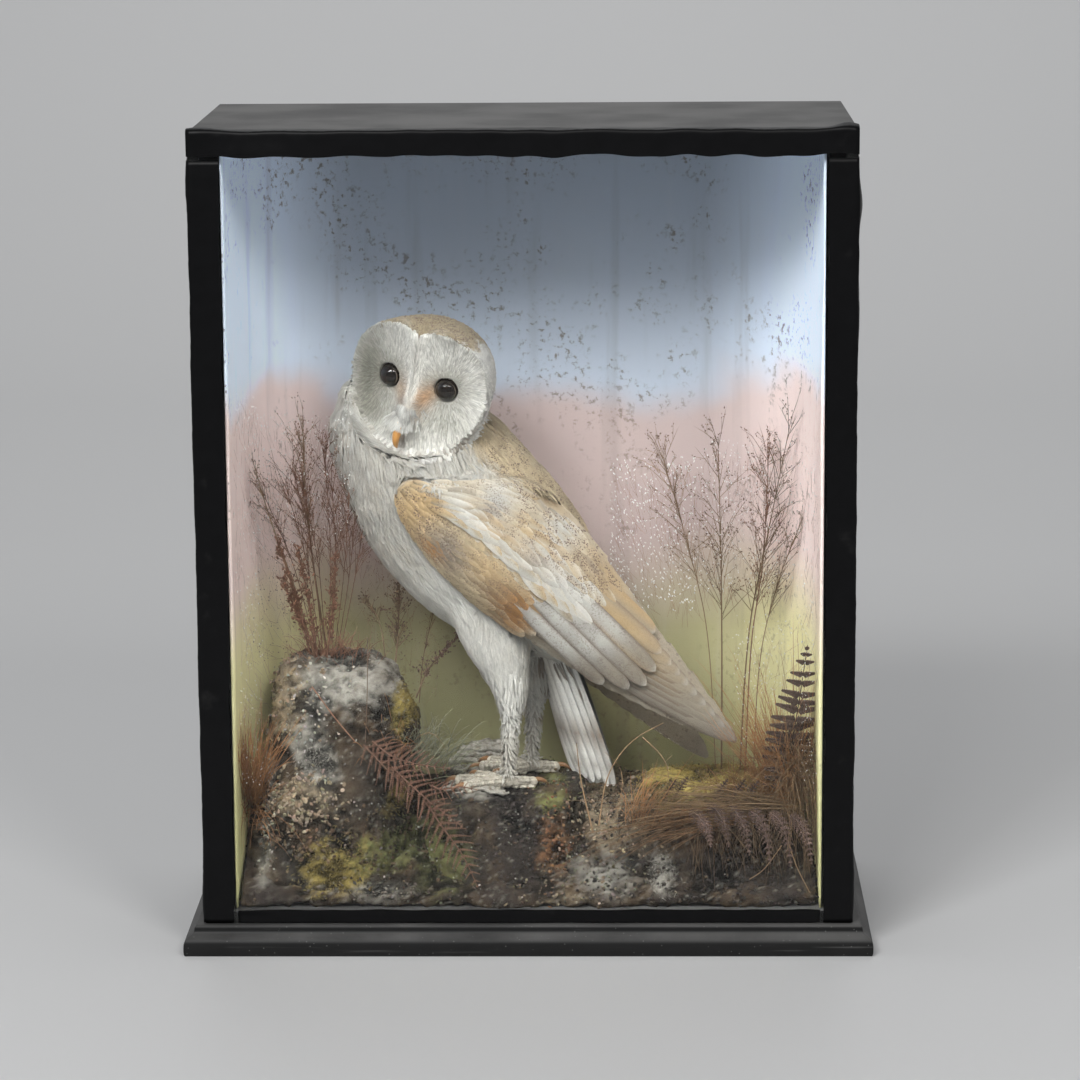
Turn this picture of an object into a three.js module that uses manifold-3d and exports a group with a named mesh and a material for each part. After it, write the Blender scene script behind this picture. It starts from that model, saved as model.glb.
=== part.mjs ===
// A mounted barn owl in a glazed show case, life size.
// Millimetres, +Z up. X runs along the glass, Y from the glass to the back board, and the
// origin is the middle of the plinth's underside. The owl's body faces -X, its face the glass.
import * as THREE from "three";
import { mergeVertices } from "three/addons/utils/BufferGeometryUtils.js";
import Module from "manifold-3d";

const wasm = await Module();
wasm.setup();

// ---------- driving dimensions ----------
const GAP = 0.3; // clearance kept between touching pieces
const PLINTH = { width: 466, depth: 232, height: 20 };
const CASE = { width: 438, front: -104, back: 110, top: 556, board: 8 };
const GLASS = 2;
const STRIP = { thick: 0.6, left: 22, right: 21, top: 18, bottom: 10, wrap: 14 };
const FLOOR = { thick: 8 };
const CEILING = { thick: 4 };
const BACKDROP = { halfWidth: 199, front: -96, depth: 194, thick: 2, power: 3 };
const BED = { front: 34, back: 76 }; // height of the groundwork at the glass and behind the bird
const PERCH_TOP = 92; // the level both feet stand on

// The trunk's axis runs down and back from this point under the head.
const AXIS = { x: -75, z: 350, slope: 54 };
const FACE = { yaw: 23, pitch: 5, roll: 11, x: -77, y: -38, z: 377.5 };
const DISC = { halfWidth: 51, top: 43.5, bottom: -46.5, notch: 7, sweep: 10 };
const SKULL = { side: 46, top: 42.5, bottom: 46 };
const EYE = { side: 21, up: 1, radius: 8.2, sunk: 4 };

// ---------- materials ----------
const finish = (color, roughness, extra = {}) =>
  new THREE.MeshStandardMaterial({ color, roughness, metalness: 0, ...extra });
const MATERIALS = {
  ebonised: finish(0x1c1b1b, 0.45),
  paper: finish(0x121213, 0.35),
  pane: finish(0xe8f0ee, 0.05, { transparent: true, opacity: 0.25 }),
  painted: finish(0xb9b7b4, 0.8),
  ceiling: finish(0xaebbc8, 0.8),
  soil: finish(0x40352e, 0.95),
  stone: finish(0x6b645c, 0.95),
  white: finish(0xd9d5ca, 0.9),
  buff: finish(0xc7a577, 0.9),
  toe: finish(0xb9ab97, 0.8),
  claw: finish(0x4a2c18, 0.35),
  bill: finish(0xc98a4e, 0.4),
  eye: finish(0x0b0908, 0.05),
  straw: finish(0x9a6f48, 0.9),
  fern: finish(0x6a4433, 0.9),
};

// ---------- solids ----------
function solid(geometry) {
  const bare = geometry.clone();
  bare.deleteAttribute("normal");
  bare.deleteAttribute("uv");
  const merged = mergeVertices(bare, 1e-3);
  const vertProperties = new Float32Array(merged.attributes.position.array);
  const triVerts = new Uint32Array(merged.index.array);
  const made = new wasm.Manifold(new wasm.Mesh({ numProp: 3, vertProperties, triVerts }));
  if (made.volume() > 0) return made;
  const turned = triVerts.slice().reverse();
  return new wasm.Manifold(new wasm.Mesh({ numProp: 3, vertProperties, triVerts: turned }));
}

function largest(body) {
  return body.decompose().sort((a, b) => b.volume() - a.volume())[0];
}

// A copy grown by a little over GAP on every side, for cutting clear of a neighbour.
function grown(body) {
  const box = body.boundingBox();
  const middle = box.min.map((low, i) => (low + box.max[i]) / 2);
  const scale = box.min.map((low, i) => 1 + (2.6 * GAP) / (box.max[i] - low));
  const back = middle.map((m) => -m);
  return body.translate(back).scale(scale).translate(middle);
}

const clearOf = (body, ...others) => largest(others.reduce((rest, o) => rest.subtract(grown(o)), body));

function toGeometry(body) {
  const mesh = body.getMesh();
  const corners = new Float32Array(mesh.numVert * 3);
  for (let i = 0; i < mesh.numVert; i++)
    corners.set(mesh.vertProperties.subarray(i * mesh.numProp, i * mesh.numProp + 3), i * 3);
  const geometry = new THREE.BufferGeometry();
  geometry.setAttribute("position", new THREE.BufferAttribute(corners, 3));
  geometry.setIndex(new THREE.BufferAttribute(new Uint32Array(mesh.triVerts), 1));
  geometry.computeVertexNormals();
  return geometry;
}

const group = new THREE.Group();
function piece(name, shape, material) {
  const geometry = shape.isBufferGeometry ? shape : toGeometry(shape);
  const mesh = new THREE.Mesh(geometry, MATERIALS[material]);
  mesh.name = name;
  group.add(mesh);
  return mesh;
}

const box = (low, high) =>
  new THREE.BoxGeometry(high[0] - low[0], high[1] - low[1], high[2] - low[2]).translate(
    (low[0] + high[0]) / 2,
    (low[1] + high[1]) / 2,
    (low[2] + high[2]) / 2,
  );

// A closed body through rings of equal point counts, each end closed by a fan.
function loft(rings) {
  const count = rings[0].length;
  const points = rings.flat();
  const index = [];
  for (let i = 0; i + 1 < rings.length; i++)
    for (let j = 0; j < count; j++) {
      const a = i * count + j;
      const b = i * count + ((j + 1) % count);
      index.push(a, b, b + count, a, b + count, a + count);
    }
  for (const [first, flip] of [[0, true], [(rings.length - 1) * count, false]]) {
    const middle = new THREE.Vector3();
    for (let j = 0; j < count; j++) middle.add(points[first + j]);
    const hub = points.push(middle.divideScalar(count)) - 1;
    for (let j = 0; j < count; j++) {
      const a = first + j;
      const b = first + ((j + 1) % count);
      index.push(...(flip ? [b, a, hub] : [a, b, hub]));
    }
  }
  const geometry = new THREE.BufferGeometry().setFromPoints(points);
  geometry.setIndex(index);
  return geometry;
}

// A rounded limb through stations [x, y, z, half width along `across`, half depth].
function limb(stations, across, sides, steps) {
  const line = new THREE.CatmullRomCurve3(stations.map(([x, y, z]) => new THREE.Vector3(x, y, z)));
  const girth = new THREE.CatmullRomCurve3(stations.map(([, , , a, b]) => new THREE.Vector3(a, b, 0)));
  const rings = [];
  for (let i = 0; i <= steps; i++) {
    const t = i / steps;
    const centre = line.getPoint(t);
    const tangent = line.getTangent(t);
    const side = across.clone().addScaledVector(tangent, -across.dot(tangent)).normalize();
    const other = new THREE.Vector3().crossVectors(tangent, side);
    const size = girth.getPoint(t);
    rings.push(
      Array.from({ length: sides }, (_, j) => {
        const angle = (2 * Math.PI * j) / sides;
        return centre
          .clone()
          .addScaledVector(side, Math.max(0.2, size.x) * Math.cos(angle))
          .addScaledVector(other, Math.max(0.2, size.y) * Math.sin(angle));
      }),
    );
  }
  return loft(rings);
}

const ACROSS_Y = new THREE.Vector3(0, 1, 0);
const radians = THREE.MathUtils.degToRad;
const lerp = THREE.MathUtils.lerp;
const clamp = THREE.MathUtils.clamp;

// Smooth lumps that repeat exactly each time, for stone and soil.
function lumps(x, y, z, size) {
  const [u, v, w] = [x / size, y / size, z / size];
  const broad = Math.sin(u * 1.7 + v * 0.9) * Math.cos(v * 1.3 - w * 1.1) + Math.sin(w * 1.9 + u * 0.7);
  const small = Math.sin(u * 4.1 - w * 3.3 + 1) * Math.cos(v * 3.7 + u * 2.9 + 2);
  return broad * 0.6 + small * 0.4;
}

// ---------- the case ----------
const half = CASE.width / 2;
const boardsFront = CASE.front + GLASS + GAP;
const caseFoot = PLINTH.height + GAP;
const boardsTop = CASE.top - CASE.board;

// The plinth's moulding, as [set in from the edge, height] up its side.
const MOULDING = [[1, 0], [0, 1.5], [0, 8], [1, 11], [3.5, 13], [6, 14.5], [7, 16], [7, 18.5], [8.5, 20]];
const plinthRing = ([inset, z]) => {
  const x = PLINTH.width / 2 - inset;
  const y = PLINTH.depth / 2 - inset;
  return [[-x, -y], [x, -y], [x, y], [-x, y]].map(([px, py]) => new THREE.Vector3(px, py, z));
};
piece("plinth", loft(MOULDING.map(plinthRing)), "ebonised");

for (const [name, side] of [["side_board_left", -1], ["side_board_right", 1]]) {
  const inner = side * (half - CASE.board);
  const outer = side * half;
  const [low, high] = [Math.min(inner, outer), Math.max(inner, outer)];
  piece(name, box([low, boardsFront, caseFoot], [high, CASE.back, boardsTop]), "ebonised");
}
piece("top_board", box([-half, boardsFront, boardsTop + GAP], [half, CASE.back, CASE.top]), "ebonised");

const insideX = half - CASE.board - GAP;
const insideBack = CASE.back - CASE.board;
const floorTop = caseFoot + FLOOR.thick;
const ceilingFoot = boardsTop - CEILING.thick;
piece("back_board", box([-insideX, insideBack + GAP, caseFoot], [insideX, CASE.back, boardsTop]), "ebonised");
piece("floor_board", box([-insideX, boardsFront, caseFoot], [insideX, insideBack, floorTop]), "ebonised");
piece("ceiling_board", box([-insideX, boardsFront, ceilingFoot], [insideX, insideBack, boardsTop]), "ceiling");

piece("front_glass", box([-half, CASE.front, caseFoot], [half, CASE.front + GLASS, CASE.top]), "pane");

// Gummed paper strips hold the glass: each is an L over the glass and round the board's edge.
function strip(width, length) {
  const { thick, wrap } = STRIP;
  const outline = [[0, 0], [width, 0], [width, thick], [thick, thick], [thick, wrap], [0, wrap]];
  const shape = new THREE.Shape(outline.map(([x, y]) => new THREE.Vector2(x, y)));
  return new THREE.ExtrudeGeometry(shape, { depth: length, bevelEnabled: false });
}
const paperFront = CASE.front - GAP - STRIP.thick;
const paperSide = half + GAP + STRIP.thick;
const paperTop = CASE.top + GAP + STRIP.thick;
const sideStripTop = CASE.top - STRIP.top - GAP;
const sideStrip = (width) => strip(width + GAP + STRIP.thick, sideStripTop - caseFoot);
piece("strip_left", sideStrip(STRIP.left).translate(-paperSide, paperFront, caseFoot), "paper");
piece(
  "strip_right",
  sideStrip(STRIP.right).rotateY(Math.PI).translate(paperSide, paperFront, sideStripTop),
  "paper",
);
piece(
  "strip_top",
  strip(STRIP.top + GAP + STRIP.thick, 2 * paperSide)
    .rotateY(Math.PI / 2)
    .translate(-paperSide, paperFront, paperTop),
  "paper",
);
const lowStrip = half - STRIP.left - GAP;
piece(
  "strip_bottom",
  box([-lowStrip, paperFront, caseFoot], [half - STRIP.right - GAP, paperFront + STRIP.thick, floorTop + 2]),
  "paper",
);

// ---------- the painted backdrop: one sheet curved from jamb to jamb ----------
function backdropLine(inset, count) {
  const { halfWidth, front, depth, power } = BACKDROP;
  return Array.from({ length: count + 1 }, (_, i) => {
    const angle = Math.PI * (1 - i / count);
    const x = Math.sign(Math.cos(angle)) * Math.abs(Math.cos(angle)) ** (2 / power);
    const y = Math.sin(angle) ** (2 / power);
    return new THREE.Vector2(x * (halfWidth - inset), front + y * (depth - inset));
  });
}
const outerLine = backdropLine(0, 30);
const innerLine = backdropLine(BACKDROP.thick, 30);
piece(
  "backdrop",
  new THREE.ExtrudeGeometry(new THREE.Shape([...outerLine, ...innerLine.reverse()]), {
    depth: ceilingFoot - floorTop - 2 * GAP,
    bevelEnabled: false,
  }).translate(0, 0, floorTop + GAP),
  "painted",
);
// What stands inside the sheet is trimmed to this prism.
const inside = solid(
  new THREE.ExtrudeGeometry(new THREE.Shape(backdropLine(BACKDROP.thick + 1, 32)), {
    depth: ceilingFoot - floorTop - 4 * GAP,
    bevelEnabled: false,
  }).translate(0, 0, floorTop + GAP),
);

// ---------- stones and soil ----------
// Stacked rough rings [z, low x, high x, low y, high y].
function rock(levels, roughness, sides) {
  return loft(
    levels.map(([z, lowX, highX, lowY, highY]) =>
      Array.from({ length: sides }, (_, j) => {
        const angle = (2 * Math.PI * j) / sides;
        const square = (v) => Math.sign(v) * Math.abs(v) ** 0.75;
        const x = lerp(lowX, highX, 0.5 + 0.5 * square(Math.cos(angle)));
        const y = lerp(lowY, highY, 0.5 + 0.5 * square(Math.sin(angle)));
        const push = roughness * lumps(x, y, z, 26);
        return new THREE.Vector3(x + push * Math.cos(angle), y + push * Math.sin(angle), z);
      }),
    ),
  );
}

const bedFoot = floorTop + GAP;
const PERCH = [
  [bedFoot, -76, 44, -84, 64],
  [50, -74, 42, -80, 66],
  [70, -72, 40, -68, 66],
  [84, -70, 38, -56, 64],
  [PERCH_TOP, -66, 34, -46, 58],
];
const TALL_ROCK = [
  [bedFoot, -204, -84, -90, 40],
  [60, -202, -86, -84, 44],
  [90, -192, -82, -74, 46],
  [115, -185, -79, -64, 44],
  [140, -180, -82, -54, 40],
  [160, -176, -86, -46, 34],
  [176, -171, -94, -38, 26],
  [186, -160, -108, -26, 14],
];
const LEDGE = [
  [bedFoot, 50, 200, -82, 60],
  [55, 52, 198, -80, 62],
  [74, 58, 194, -70, 60],
  [86, 68, 190, -54, 54],
  [93, 84, 180, -34, 40],
];
// A furrowed slab that lies on the perch behind the toes.
const SLAB = [
  [PERCH_TOP + GAP, -60, -17, 42, 57],
  [97, -61, -16, 42, 57],
  [102, -58, -19, 43.5, 56],
  [106, -50, -27, 46, 53],
];
const slabBody = solid(rock(SLAB, 1.2, 14));
const perchBody = solid(rock(PERCH, 2.2, 20)).intersect(inside);
const tallBody = clearOf(solid(rock(TALL_ROCK, 4.5, 20)).intersect(inside), perchBody);
const ledgeBody = clearOf(solid(rock(LEDGE, 3.5, 20)).intersect(inside), perchBody);

// A grid of soil that climbs from the glass to the back.
function bedHeight(x, y) {
  const climb = clamp((y + 98) / 90, 0, 1);
  return lerp(BED.front, BED.back, climb ** 0.8) + 2.5 * lumps(x, y, 0, 30) * clamp(climb * 4, 0, 1);
}
function bed(columns, rows) {
  const [lowX, highX, lowY, highY] = [-197, 197, -95, 97];
  const outline = (z) => {
    const ring = [];
    for (let i = 0; i < columns; i++) ring.push([lerp(lowX, highX, i / columns), lowY]);
    for (let i = 0; i < rows; i++) ring.push([highX, lerp(lowY, highY, i / rows)]);
    for (let i = columns; i > 0; i--) ring.push([lerp(lowX, highX, i / columns), highY]);
    for (let i = rows; i > 0; i--) ring.push([lowX, lerp(lowY, highY, i / rows)]);
    return ring.map(([x, y]) => new THREE.Vector3(x, y, z ?? bedHeight(x, y)));
  };
  const surface = new THREE.PlaneGeometry(highX - lowX, highY - lowY, columns, rows);
  surface.translate((lowX + highX) / 2, (lowY + highY) / 2, 0);
  const place = surface.attributes.position;
  for (let i = 0; i < place.count; i++) place.setZ(i, bedHeight(place.getX(i), place.getY(i)));
  const top = surface.toNonIndexed().attributes.position.array;
  const rim = outline();
  const foot = outline(bedFoot);
  const walls = [];
  const hub = new THREE.Vector3((lowX + highX) / 2, (lowY + highY) / 2, bedFoot);
  rim.forEach((a, i) => {
    const next = (i + 1) % rim.length;
    walls.push(foot[i], foot[next], rim[next], foot[i], rim[next], a, foot[next], foot[i], hub);
  });
  const all = new Float32Array([...top, ...walls.flatMap((p) => [p.x, p.y, p.z])]);
  const geometry = new THREE.BufferGeometry().setAttribute("position", new THREE.BufferAttribute(all, 3));
  return geometry;
}
const bedBody = clearOf(solid(bed(11, 6)).intersect(inside), perchBody, tallBody, ledgeBody);
piece("perch_rock", perchBody, "stone");
piece("tall_rock", tallBody, "stone");
piece("ledge_rock", ledgeBody, "soil");
piece("ground_bed", bedBody, "soil");
piece("lichen_slab", slabBody, "stone");

// ---------- the bird's own frames ----------
const slope = radians(AXIS.slope);
const DOWN = new THREE.Vector3(Math.cos(slope), 0, -Math.sin(slope)); // from nape to tail
const BACK = new THREE.Vector3(Math.sin(slope), 0, Math.cos(slope)); // from breast to back
// s runs down the body's axis, n from the axis to the back, y across.
const bodyPoint = (s, n, y) =>
  new THREE.Vector3(AXIS.x, y, AXIS.z).addScaledVector(DOWN, s).addScaledVector(BACK, n);

const yaw = radians(FACE.yaw);
const pitch = radians(FACE.pitch);
const FORWARD = new THREE.Vector3(-Math.sin(yaw) * Math.cos(pitch), -Math.cos(yaw) * Math.cos(pitch), -Math.sin(pitch));
const LEVEL = new THREE.Vector3(Math.cos(yaw), -Math.sin(yaw), 0);
const LEFT = LEVEL.clone().applyAxisAngle(FORWARD, radians(-FACE.roll));
const UP = new THREE.Vector3().crossVectors(FORWARD, LEFT).normalize();
if (UP.z < 0) UP.negate();
const facePoint = (left, up, forward) =>
  new THREE.Vector3(FACE.x, FACE.y, FACE.z)
    .addScaledVector(LEFT, left)
    .addScaledVector(UP, up)
    .addScaledVector(FORWARD, forward);

// ---------- head ----------
const power = (v, p) => Math.sign(v) * Math.abs(v) ** p;
// The heart-shaped edge of the facial disc, as [left, up].
function discEdge(angle) {
  const [c, s] = [Math.cos(angle), Math.sin(angle)];
  const left = DISC.halfWidth * power(c, 0.9) * (s < 0 ? 1 - 0.1 * s * s : 1);
  const reach = s > 0 ? DISC.top * power(s, 0.8) : -DISC.bottom * power(s, 0.95);
  return [left, reach - (s > 0 ? DISC.notch * Math.exp(-((left / 11) ** 2)) : 0)];
}
// How far the face stands forward of the disc's plane.
function faceDepth(left, up, share) {
  const ridge = (5 + 9 * Math.exp(-(((up + 20) / 15) ** 2))) * Math.exp(-((left / 8.5) ** 2));
  const bowl = -5 * (1 - share ** 4);
  const sides = -DISC.sweep * (left / DISC.halfWidth) ** 2;
  return sides + bowl + ridge * clamp((1 - share) * 6, 0, 1);
}
function headRings(sides) {
  const ring = (scale, forward, roundness) =>
    Array.from({ length: sides }, (_, j) => {
      const angle = (2 * Math.PI * (j + 0.5)) / sides;
      const [left, up] = discEdge(angle);
      const dome = (angle < Math.PI ? SKULL.top : SKULL.bottom) * Math.sin(angle);
      const [x, z] = [lerp(left, SKULL.side * Math.cos(angle), roundness), lerp(up, 1 + dome, roundness)];
      const sweep = -DISC.sweep * (left / DISC.halfWidth) ** 2 * (1 - roundness);
      return facePoint(x * scale, z * scale, forward + sweep);
    });
  const faceRing = (share) =>
    Array.from({ length: sides }, (_, j) => {
      const [left, up] = discEdge((2 * Math.PI * (j + 0.5)) / sides);
      return facePoint(left * share, up * share, faceDepth(left * share, up * share, share));
    });
  const behind = [[0.3, -66, 1], [0.62, -62, 1], [0.84, -53, 1], [0.96, -40, 1], [1.02, -26, 0.8], [1.04, -13, 0.4], [1.04, -4, 0.1], [1, 1.5, 0]];
  const shares = [0.95, 0.88, 0.78, 0.66, 0.54, 0.42, 0.3, 0.18, 0.08];
  return [...behind.map((b) => ring(...b)), ...shares.map(faceRing)];
}
const eyeCentre = (side) =>
  facePoint(side * EYE.side, EYE.up, faceDepth(EYE.side, EYE.up, EYE.side / DISC.halfWidth) - EYE.sunk);
const ball = (centre, radius) => new THREE.IcosahedronGeometry(radius, 2).translate(centre.x, centre.y, centre.z);

// [up, forward, half width, half depth]
const BILL = [[-27, 7.5, 2.6, 3.2], [-31, 10, 2.9, 3.4], [-35, 11, 2.6, 3.1], [-39, 10.2, 1.9, 2.2], [-42.3, 8, 0.8, 0.9]];
const BILL_SET = -2.5; // the bill leans a little off the middle line
const billBody = solid(
  limb(
    BILL.map(([up, forward, wide, deep]) => [...facePoint(BILL_SET, up, forward).toArray(), wide, deep]),
    LEFT,
    8,
    7,
  ),
);
const wholeHead = solid(loft(headRings(26)));
let headBody = wholeHead;
for (const side of [-1, 1]) headBody = headBody.subtract(solid(ball(eyeCentre(side), EYE.radius + GAP)));
headBody = clearOf(headBody, billBody);
piece("head", headBody, "white");
piece("bill", billBody, "bill");
piece("eye_left", ball(eyeCentre(1), EYE.radius), "eye");
piece("eye_right", ball(eyeCentre(-1), EYE.radius), "eye");

// ---------- neck and trunk ----------
// [s, n of the centre, half depth, half breadth]
const TRUNK = [
  [-46, -4, 26, 24],
  [-26, -7, 43, 33],
  [0, -16, 52, 41],
  [30, -17, 61, 47],
  [62, -17.5, 65.5, 49],
  [92, -15, 65, 49],
  [120, -10, 61, 46],
  [148, -3, 53, 40],
  [172, 5, 40, 32],
  [194, 14, 28, 24],
  [212, 22, 17, 15],
  [222, 26, 7, 7],
];
const trunkStations = TRUNK.map(([s, n, deep, broad]) => [...bodyPoint(s, n, 0).toArray(), broad, deep]);
// The space in front of the face stays open where the breast swells beside it.
const FACE_ROOM = 1.012;
const faceRoom = solid(
  loft(
    [-5, 90].map((forward) =>
      Array.from({ length: 28 }, (_, j) => {
        const [left, up] = discEdge((2 * Math.PI * (j + 0.5)) / 28);
        const sweep = -DISC.sweep * (left / DISC.halfWidth) ** 2;
        return facePoint(left * FACE_ROOM, up * FACE_ROOM, forward + sweep);
      }),
    ),
  ),
);
const bodyLoft = solid(limb(trunkStations, ACROSS_Y, 20, 18)).subtract(faceRoom);
const wholeBody = clearOf(bodyLoft, wholeHead);
const NECK_END = 34; // where the neck ends on the body's axis
const neckCut = DOWN.toArray();
const cutAt = DOWN.dot(bodyPoint(NECK_END, 0, 0));
const [below, above] = wholeBody.splitByPlane(neckCut, cutAt);
const neckBody = largest(above.trimByPlane(neckCut.map((c) => -c), -(cutAt - GAP)));
const trunkBody = largest(below);
piece("neck", neckBody, "white");
piece("trunk", trunkBody, "white");

// ---------- tail ----------
// [x, y, z, half width, half thickness]
const TAIL = {
  turn: 42,
  stations: [
    [14, 6, 200, 13, 9],
    [20, 5, 178, 17, 7],
    [28, 5, 150, 21, 5],
    [36, 5, 120, 22, 3.6],
    [43, 5, 99, 18, 2.4],
    [46, 5, 88, 9, 1.4],
  ],
};
const tailAcross = new THREE.Vector3(Math.sin(radians(TAIL.turn)), -Math.cos(radians(TAIL.turn)), 0);
let tailBody = clearOf(solid(limb(TAIL.stations, tailAcross, 12, 10)), trunkBody, perchBody);

// ---------- wings: curved blades that wrap the flanks and close over the rump ----------
// [s, n of the middle, half width]
const WING = [
  [24, -29, 6],
  [40, -24, 20],
  [60, -10, 36],
  [85, -2, 44],
  [115, 5, 45],
  [145, 9, 42],
  [175, 13, 38],
  [205, 18, 32],
  [235, 25, 26],
  [265, 32, 19],
  [290, 38, 12],
  [306, 42.5, 6],
  [312, 44, 2],
];
// How far out the blade lies, and how thick it is, from shoulder to tip.
const wingOut = (s) => lerp(54, 19, clamp((s - 110) / 200, 0, 1) ** 1.1);
const wingThick = (s) => lerp(6.5, 1.6, clamp((s - 60) / 220, 0, 1));
const WING_CURVE = 0.0085; // how fast the blade falls away from its crown
const wingCrown = (s) => (s < 100 ? -15 : -15 + (s - 100) * 0.215);
function wing(side, droop, margin = 0) {
  const middles = new THREE.CatmullRomCurve3(WING.map(([s, n, w]) => new THREE.Vector3(s, n, w)));
  const turn = radians(droop);
  const [pivotS, pivotN] = [40, -20];
  const steps = 18;
  const rings = [];
  for (let i = 0; i <= steps; i++) {
    const { x: s, y: middle, z: halfWidth } = middles.getPoint(i / steps);
    rings.push(
      Array.from({ length: 14 }, (_, j) => {
        const angle = (2 * Math.PI * j) / 14;
        const n = middle + (Math.max(1, halfWidth) + margin) * Math.cos(angle);
        const off = n - wingCrown(s);
        const y = wingOut(s) - WING_CURVE * off * off + (wingThick(s) + margin) * Math.sin(angle);
        const [ds, dn] = [s - pivotS, n - pivotN];
        const s2 = pivotS + ds * Math.cos(turn) + dn * Math.sin(turn);
        const n2 = pivotN - ds * Math.sin(turn) + dn * Math.cos(turn);
        return bodyPoint(s2, n2, -side * Math.max(3, y));
      }),
    );
  }
  return solid(loft(rings));
}
const [NEAR_DROOP, FAR_DROOP] = [0, 5.8]; // the far wing hangs a little lower
const nearWing = clearOf(wing(1, NEAR_DROOP), wholeBody, wholeHead, tailBody);
const farWing = clearOf(wing(-1, FAR_DROOP), wholeBody, wholeHead, tailBody, nearWing);
piece("wing_left", nearWing, "buff");
piece("wing_right", farWing, "buff");

// ---------- legs and feet ----------
// [x, z, half breadth, half depth]
const LEG = [
  [-33, 232, 22, 28],
  [-25, 208, 20, 27],
  [-18, 186, 17, 22],
  [-13, 166, 12, 13.5],
  [-13, 142, 8, 8.6],
  [-14, 118, 6.8, 7],
  [-15, 104, 6.2, 6.4],
];
const FOOT_X = -15;
const LEG_SPREAD = 22;
const FAR_STEP = 15; // the far leg stands this much further back
// [heading from -X towards the outside, reach, thickness]
const TOES = [[-24, 31, 4.2], [6, 34, 4.4], [40, 27, 4], [176, 17, 3.8]];
const CLAW = { length: 13, radius: 1.9 };
const footLift = PERCH_TOP + GAP;

function foot(x, y, side) {
  const ankle = new THREE.SphereGeometry(6.5, 8, 6).scale(1, 1, 0.75).translate(x, y, footLift + 5.6);
  let body = solid(ankle);
  const claws = TOES.map(([heading, reach, radius]) => {
    const angle = Math.PI + radians(heading) * side;
    const ahead = new THREE.Vector3(Math.cos(angle), Math.sin(angle), 0);
    const across = new THREE.Vector3(-ahead.y, ahead.x, 0);
    const at = (along, z) => [x + ahead.x * along, y + ahead.y * along, footLift + z];
    const toe = limb(
      [
        [...at(0, radius + 1), radius, radius],
        [...at(reach * 0.35, radius + 0.6), radius * 1.05, radius],
        [...at(reach * 0.7, radius + 1.2), radius * 0.9, radius * 0.9],
        [...at(reach, radius + 1.5), radius * 0.72, radius * 0.75],
        [...at(reach + 1.6, radius + 1.2), radius * 0.3, radius * 0.3],
      ],
      across,
      6,
      4,
    );
    body = body.add(solid(toe));
    const { length, radius: thick } = CLAW;
    const claw = (margin) => {
      const stations = [
        [reach + 1 - margin, radius + 1.6, thick],
        [reach + length * 0.35, radius + 2.2, thick * 0.85],
        [reach + length * 0.7, radius - 0.4, thick * 0.55],
        [reach + length * 0.88, 1, 0.35],
      ];
      const round = stations.map(([along, z, r]) => [...at(along, z), r + margin, r + margin]);
      return solid(limb(round, across, 6, 5));
    };
    return [claw(0), claw(1.2 * GAP)];
  });
  const bare = claws.reduce((rest, [, cutter]) => rest.subtract(cutter), body);
  return { body: largest(bare), claws: claws.map(([claw]) => claw) };
}

for (const [name, side, step] of [["left", -1, 0], ["right", 1, FAR_STEP]]) {
  const y = side * LEG_SPREAD;
  const stations = LEG.map(([x, z, broad, deep]) => [x + step, y, z, broad, deep]);
  const { body: footBody, claws } = foot(FOOT_X + step, y, side);
  const sameWing = side < 0 ? wing(1, NEAR_DROOP, 1.5 * GAP) : wing(-1, FAR_DROOP, 1.5 * GAP);
  const legBody = clearOf(solid(limb(stations, ACROSS_Y, 12, 9)), wholeBody, sameWing, tailBody, footBody);
  if (side > 0) {
    piece("leg_right", clearOf(legBody, solid(group.getObjectByName("leg_left").geometry)), "white");
  } else piece("leg_left", legBody, "white");
  piece(`foot_${name}`, footBody, "toe");
  claws.forEach((claw, i) => piece(`claw_${name}_${i + 1}`, claw, "claw"));
}
const legs = ["leg_left", "leg_right"].map((name) => solid(group.getObjectByName(name).geometry));
tailBody = clearOf(tailBody, ...legs);
piece("tail", tailBody, "white");

// ---------- dried plants ----------
// Each starts in the groundwork and is cut clear of the stones it grows from.
const stones = [tallBody, perchBody, ledgeBody, slabBody, bedBody.translate([0, 0, GAP])];
function plant(name, stations, across, sides, steps, material) {
  const body = solid(limb(stations, across, sides, steps)).intersect(inside);
  piece(name, clearOf(body, ...stones), material);
}
const ACROSS_X = new THREE.Vector3(1, 0, 0);
const stalk = (name, points) =>
  plant(name, points.map((p) => [...p, 1, 1]), ACROSS_Y, 5, 7, "straw");
stalk("stalk_left_1", [[-148, -10, 180], [-162, -16, 235], [-177, -24, 285], [-187, -30, 325]]);
stalk("stalk_left_2", [[-140, -4, 180], [-148, -8, 240], [-153, -12, 300], [-154, -14, 350]]);
stalk("stalk_left_3", [[-96, 6, 165], [-92, 8, 200], [-91, 8, 222]]);
stalk("stalk_right_1", [[134, 28, 80], [134, 26, 180], [133, 24, 250], [131, 22, 330]]);
stalk("stalk_right_2", [[146, 16, 80], [155, 14, 190], [168, 8, 270], [181, 2, 340]]);

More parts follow.
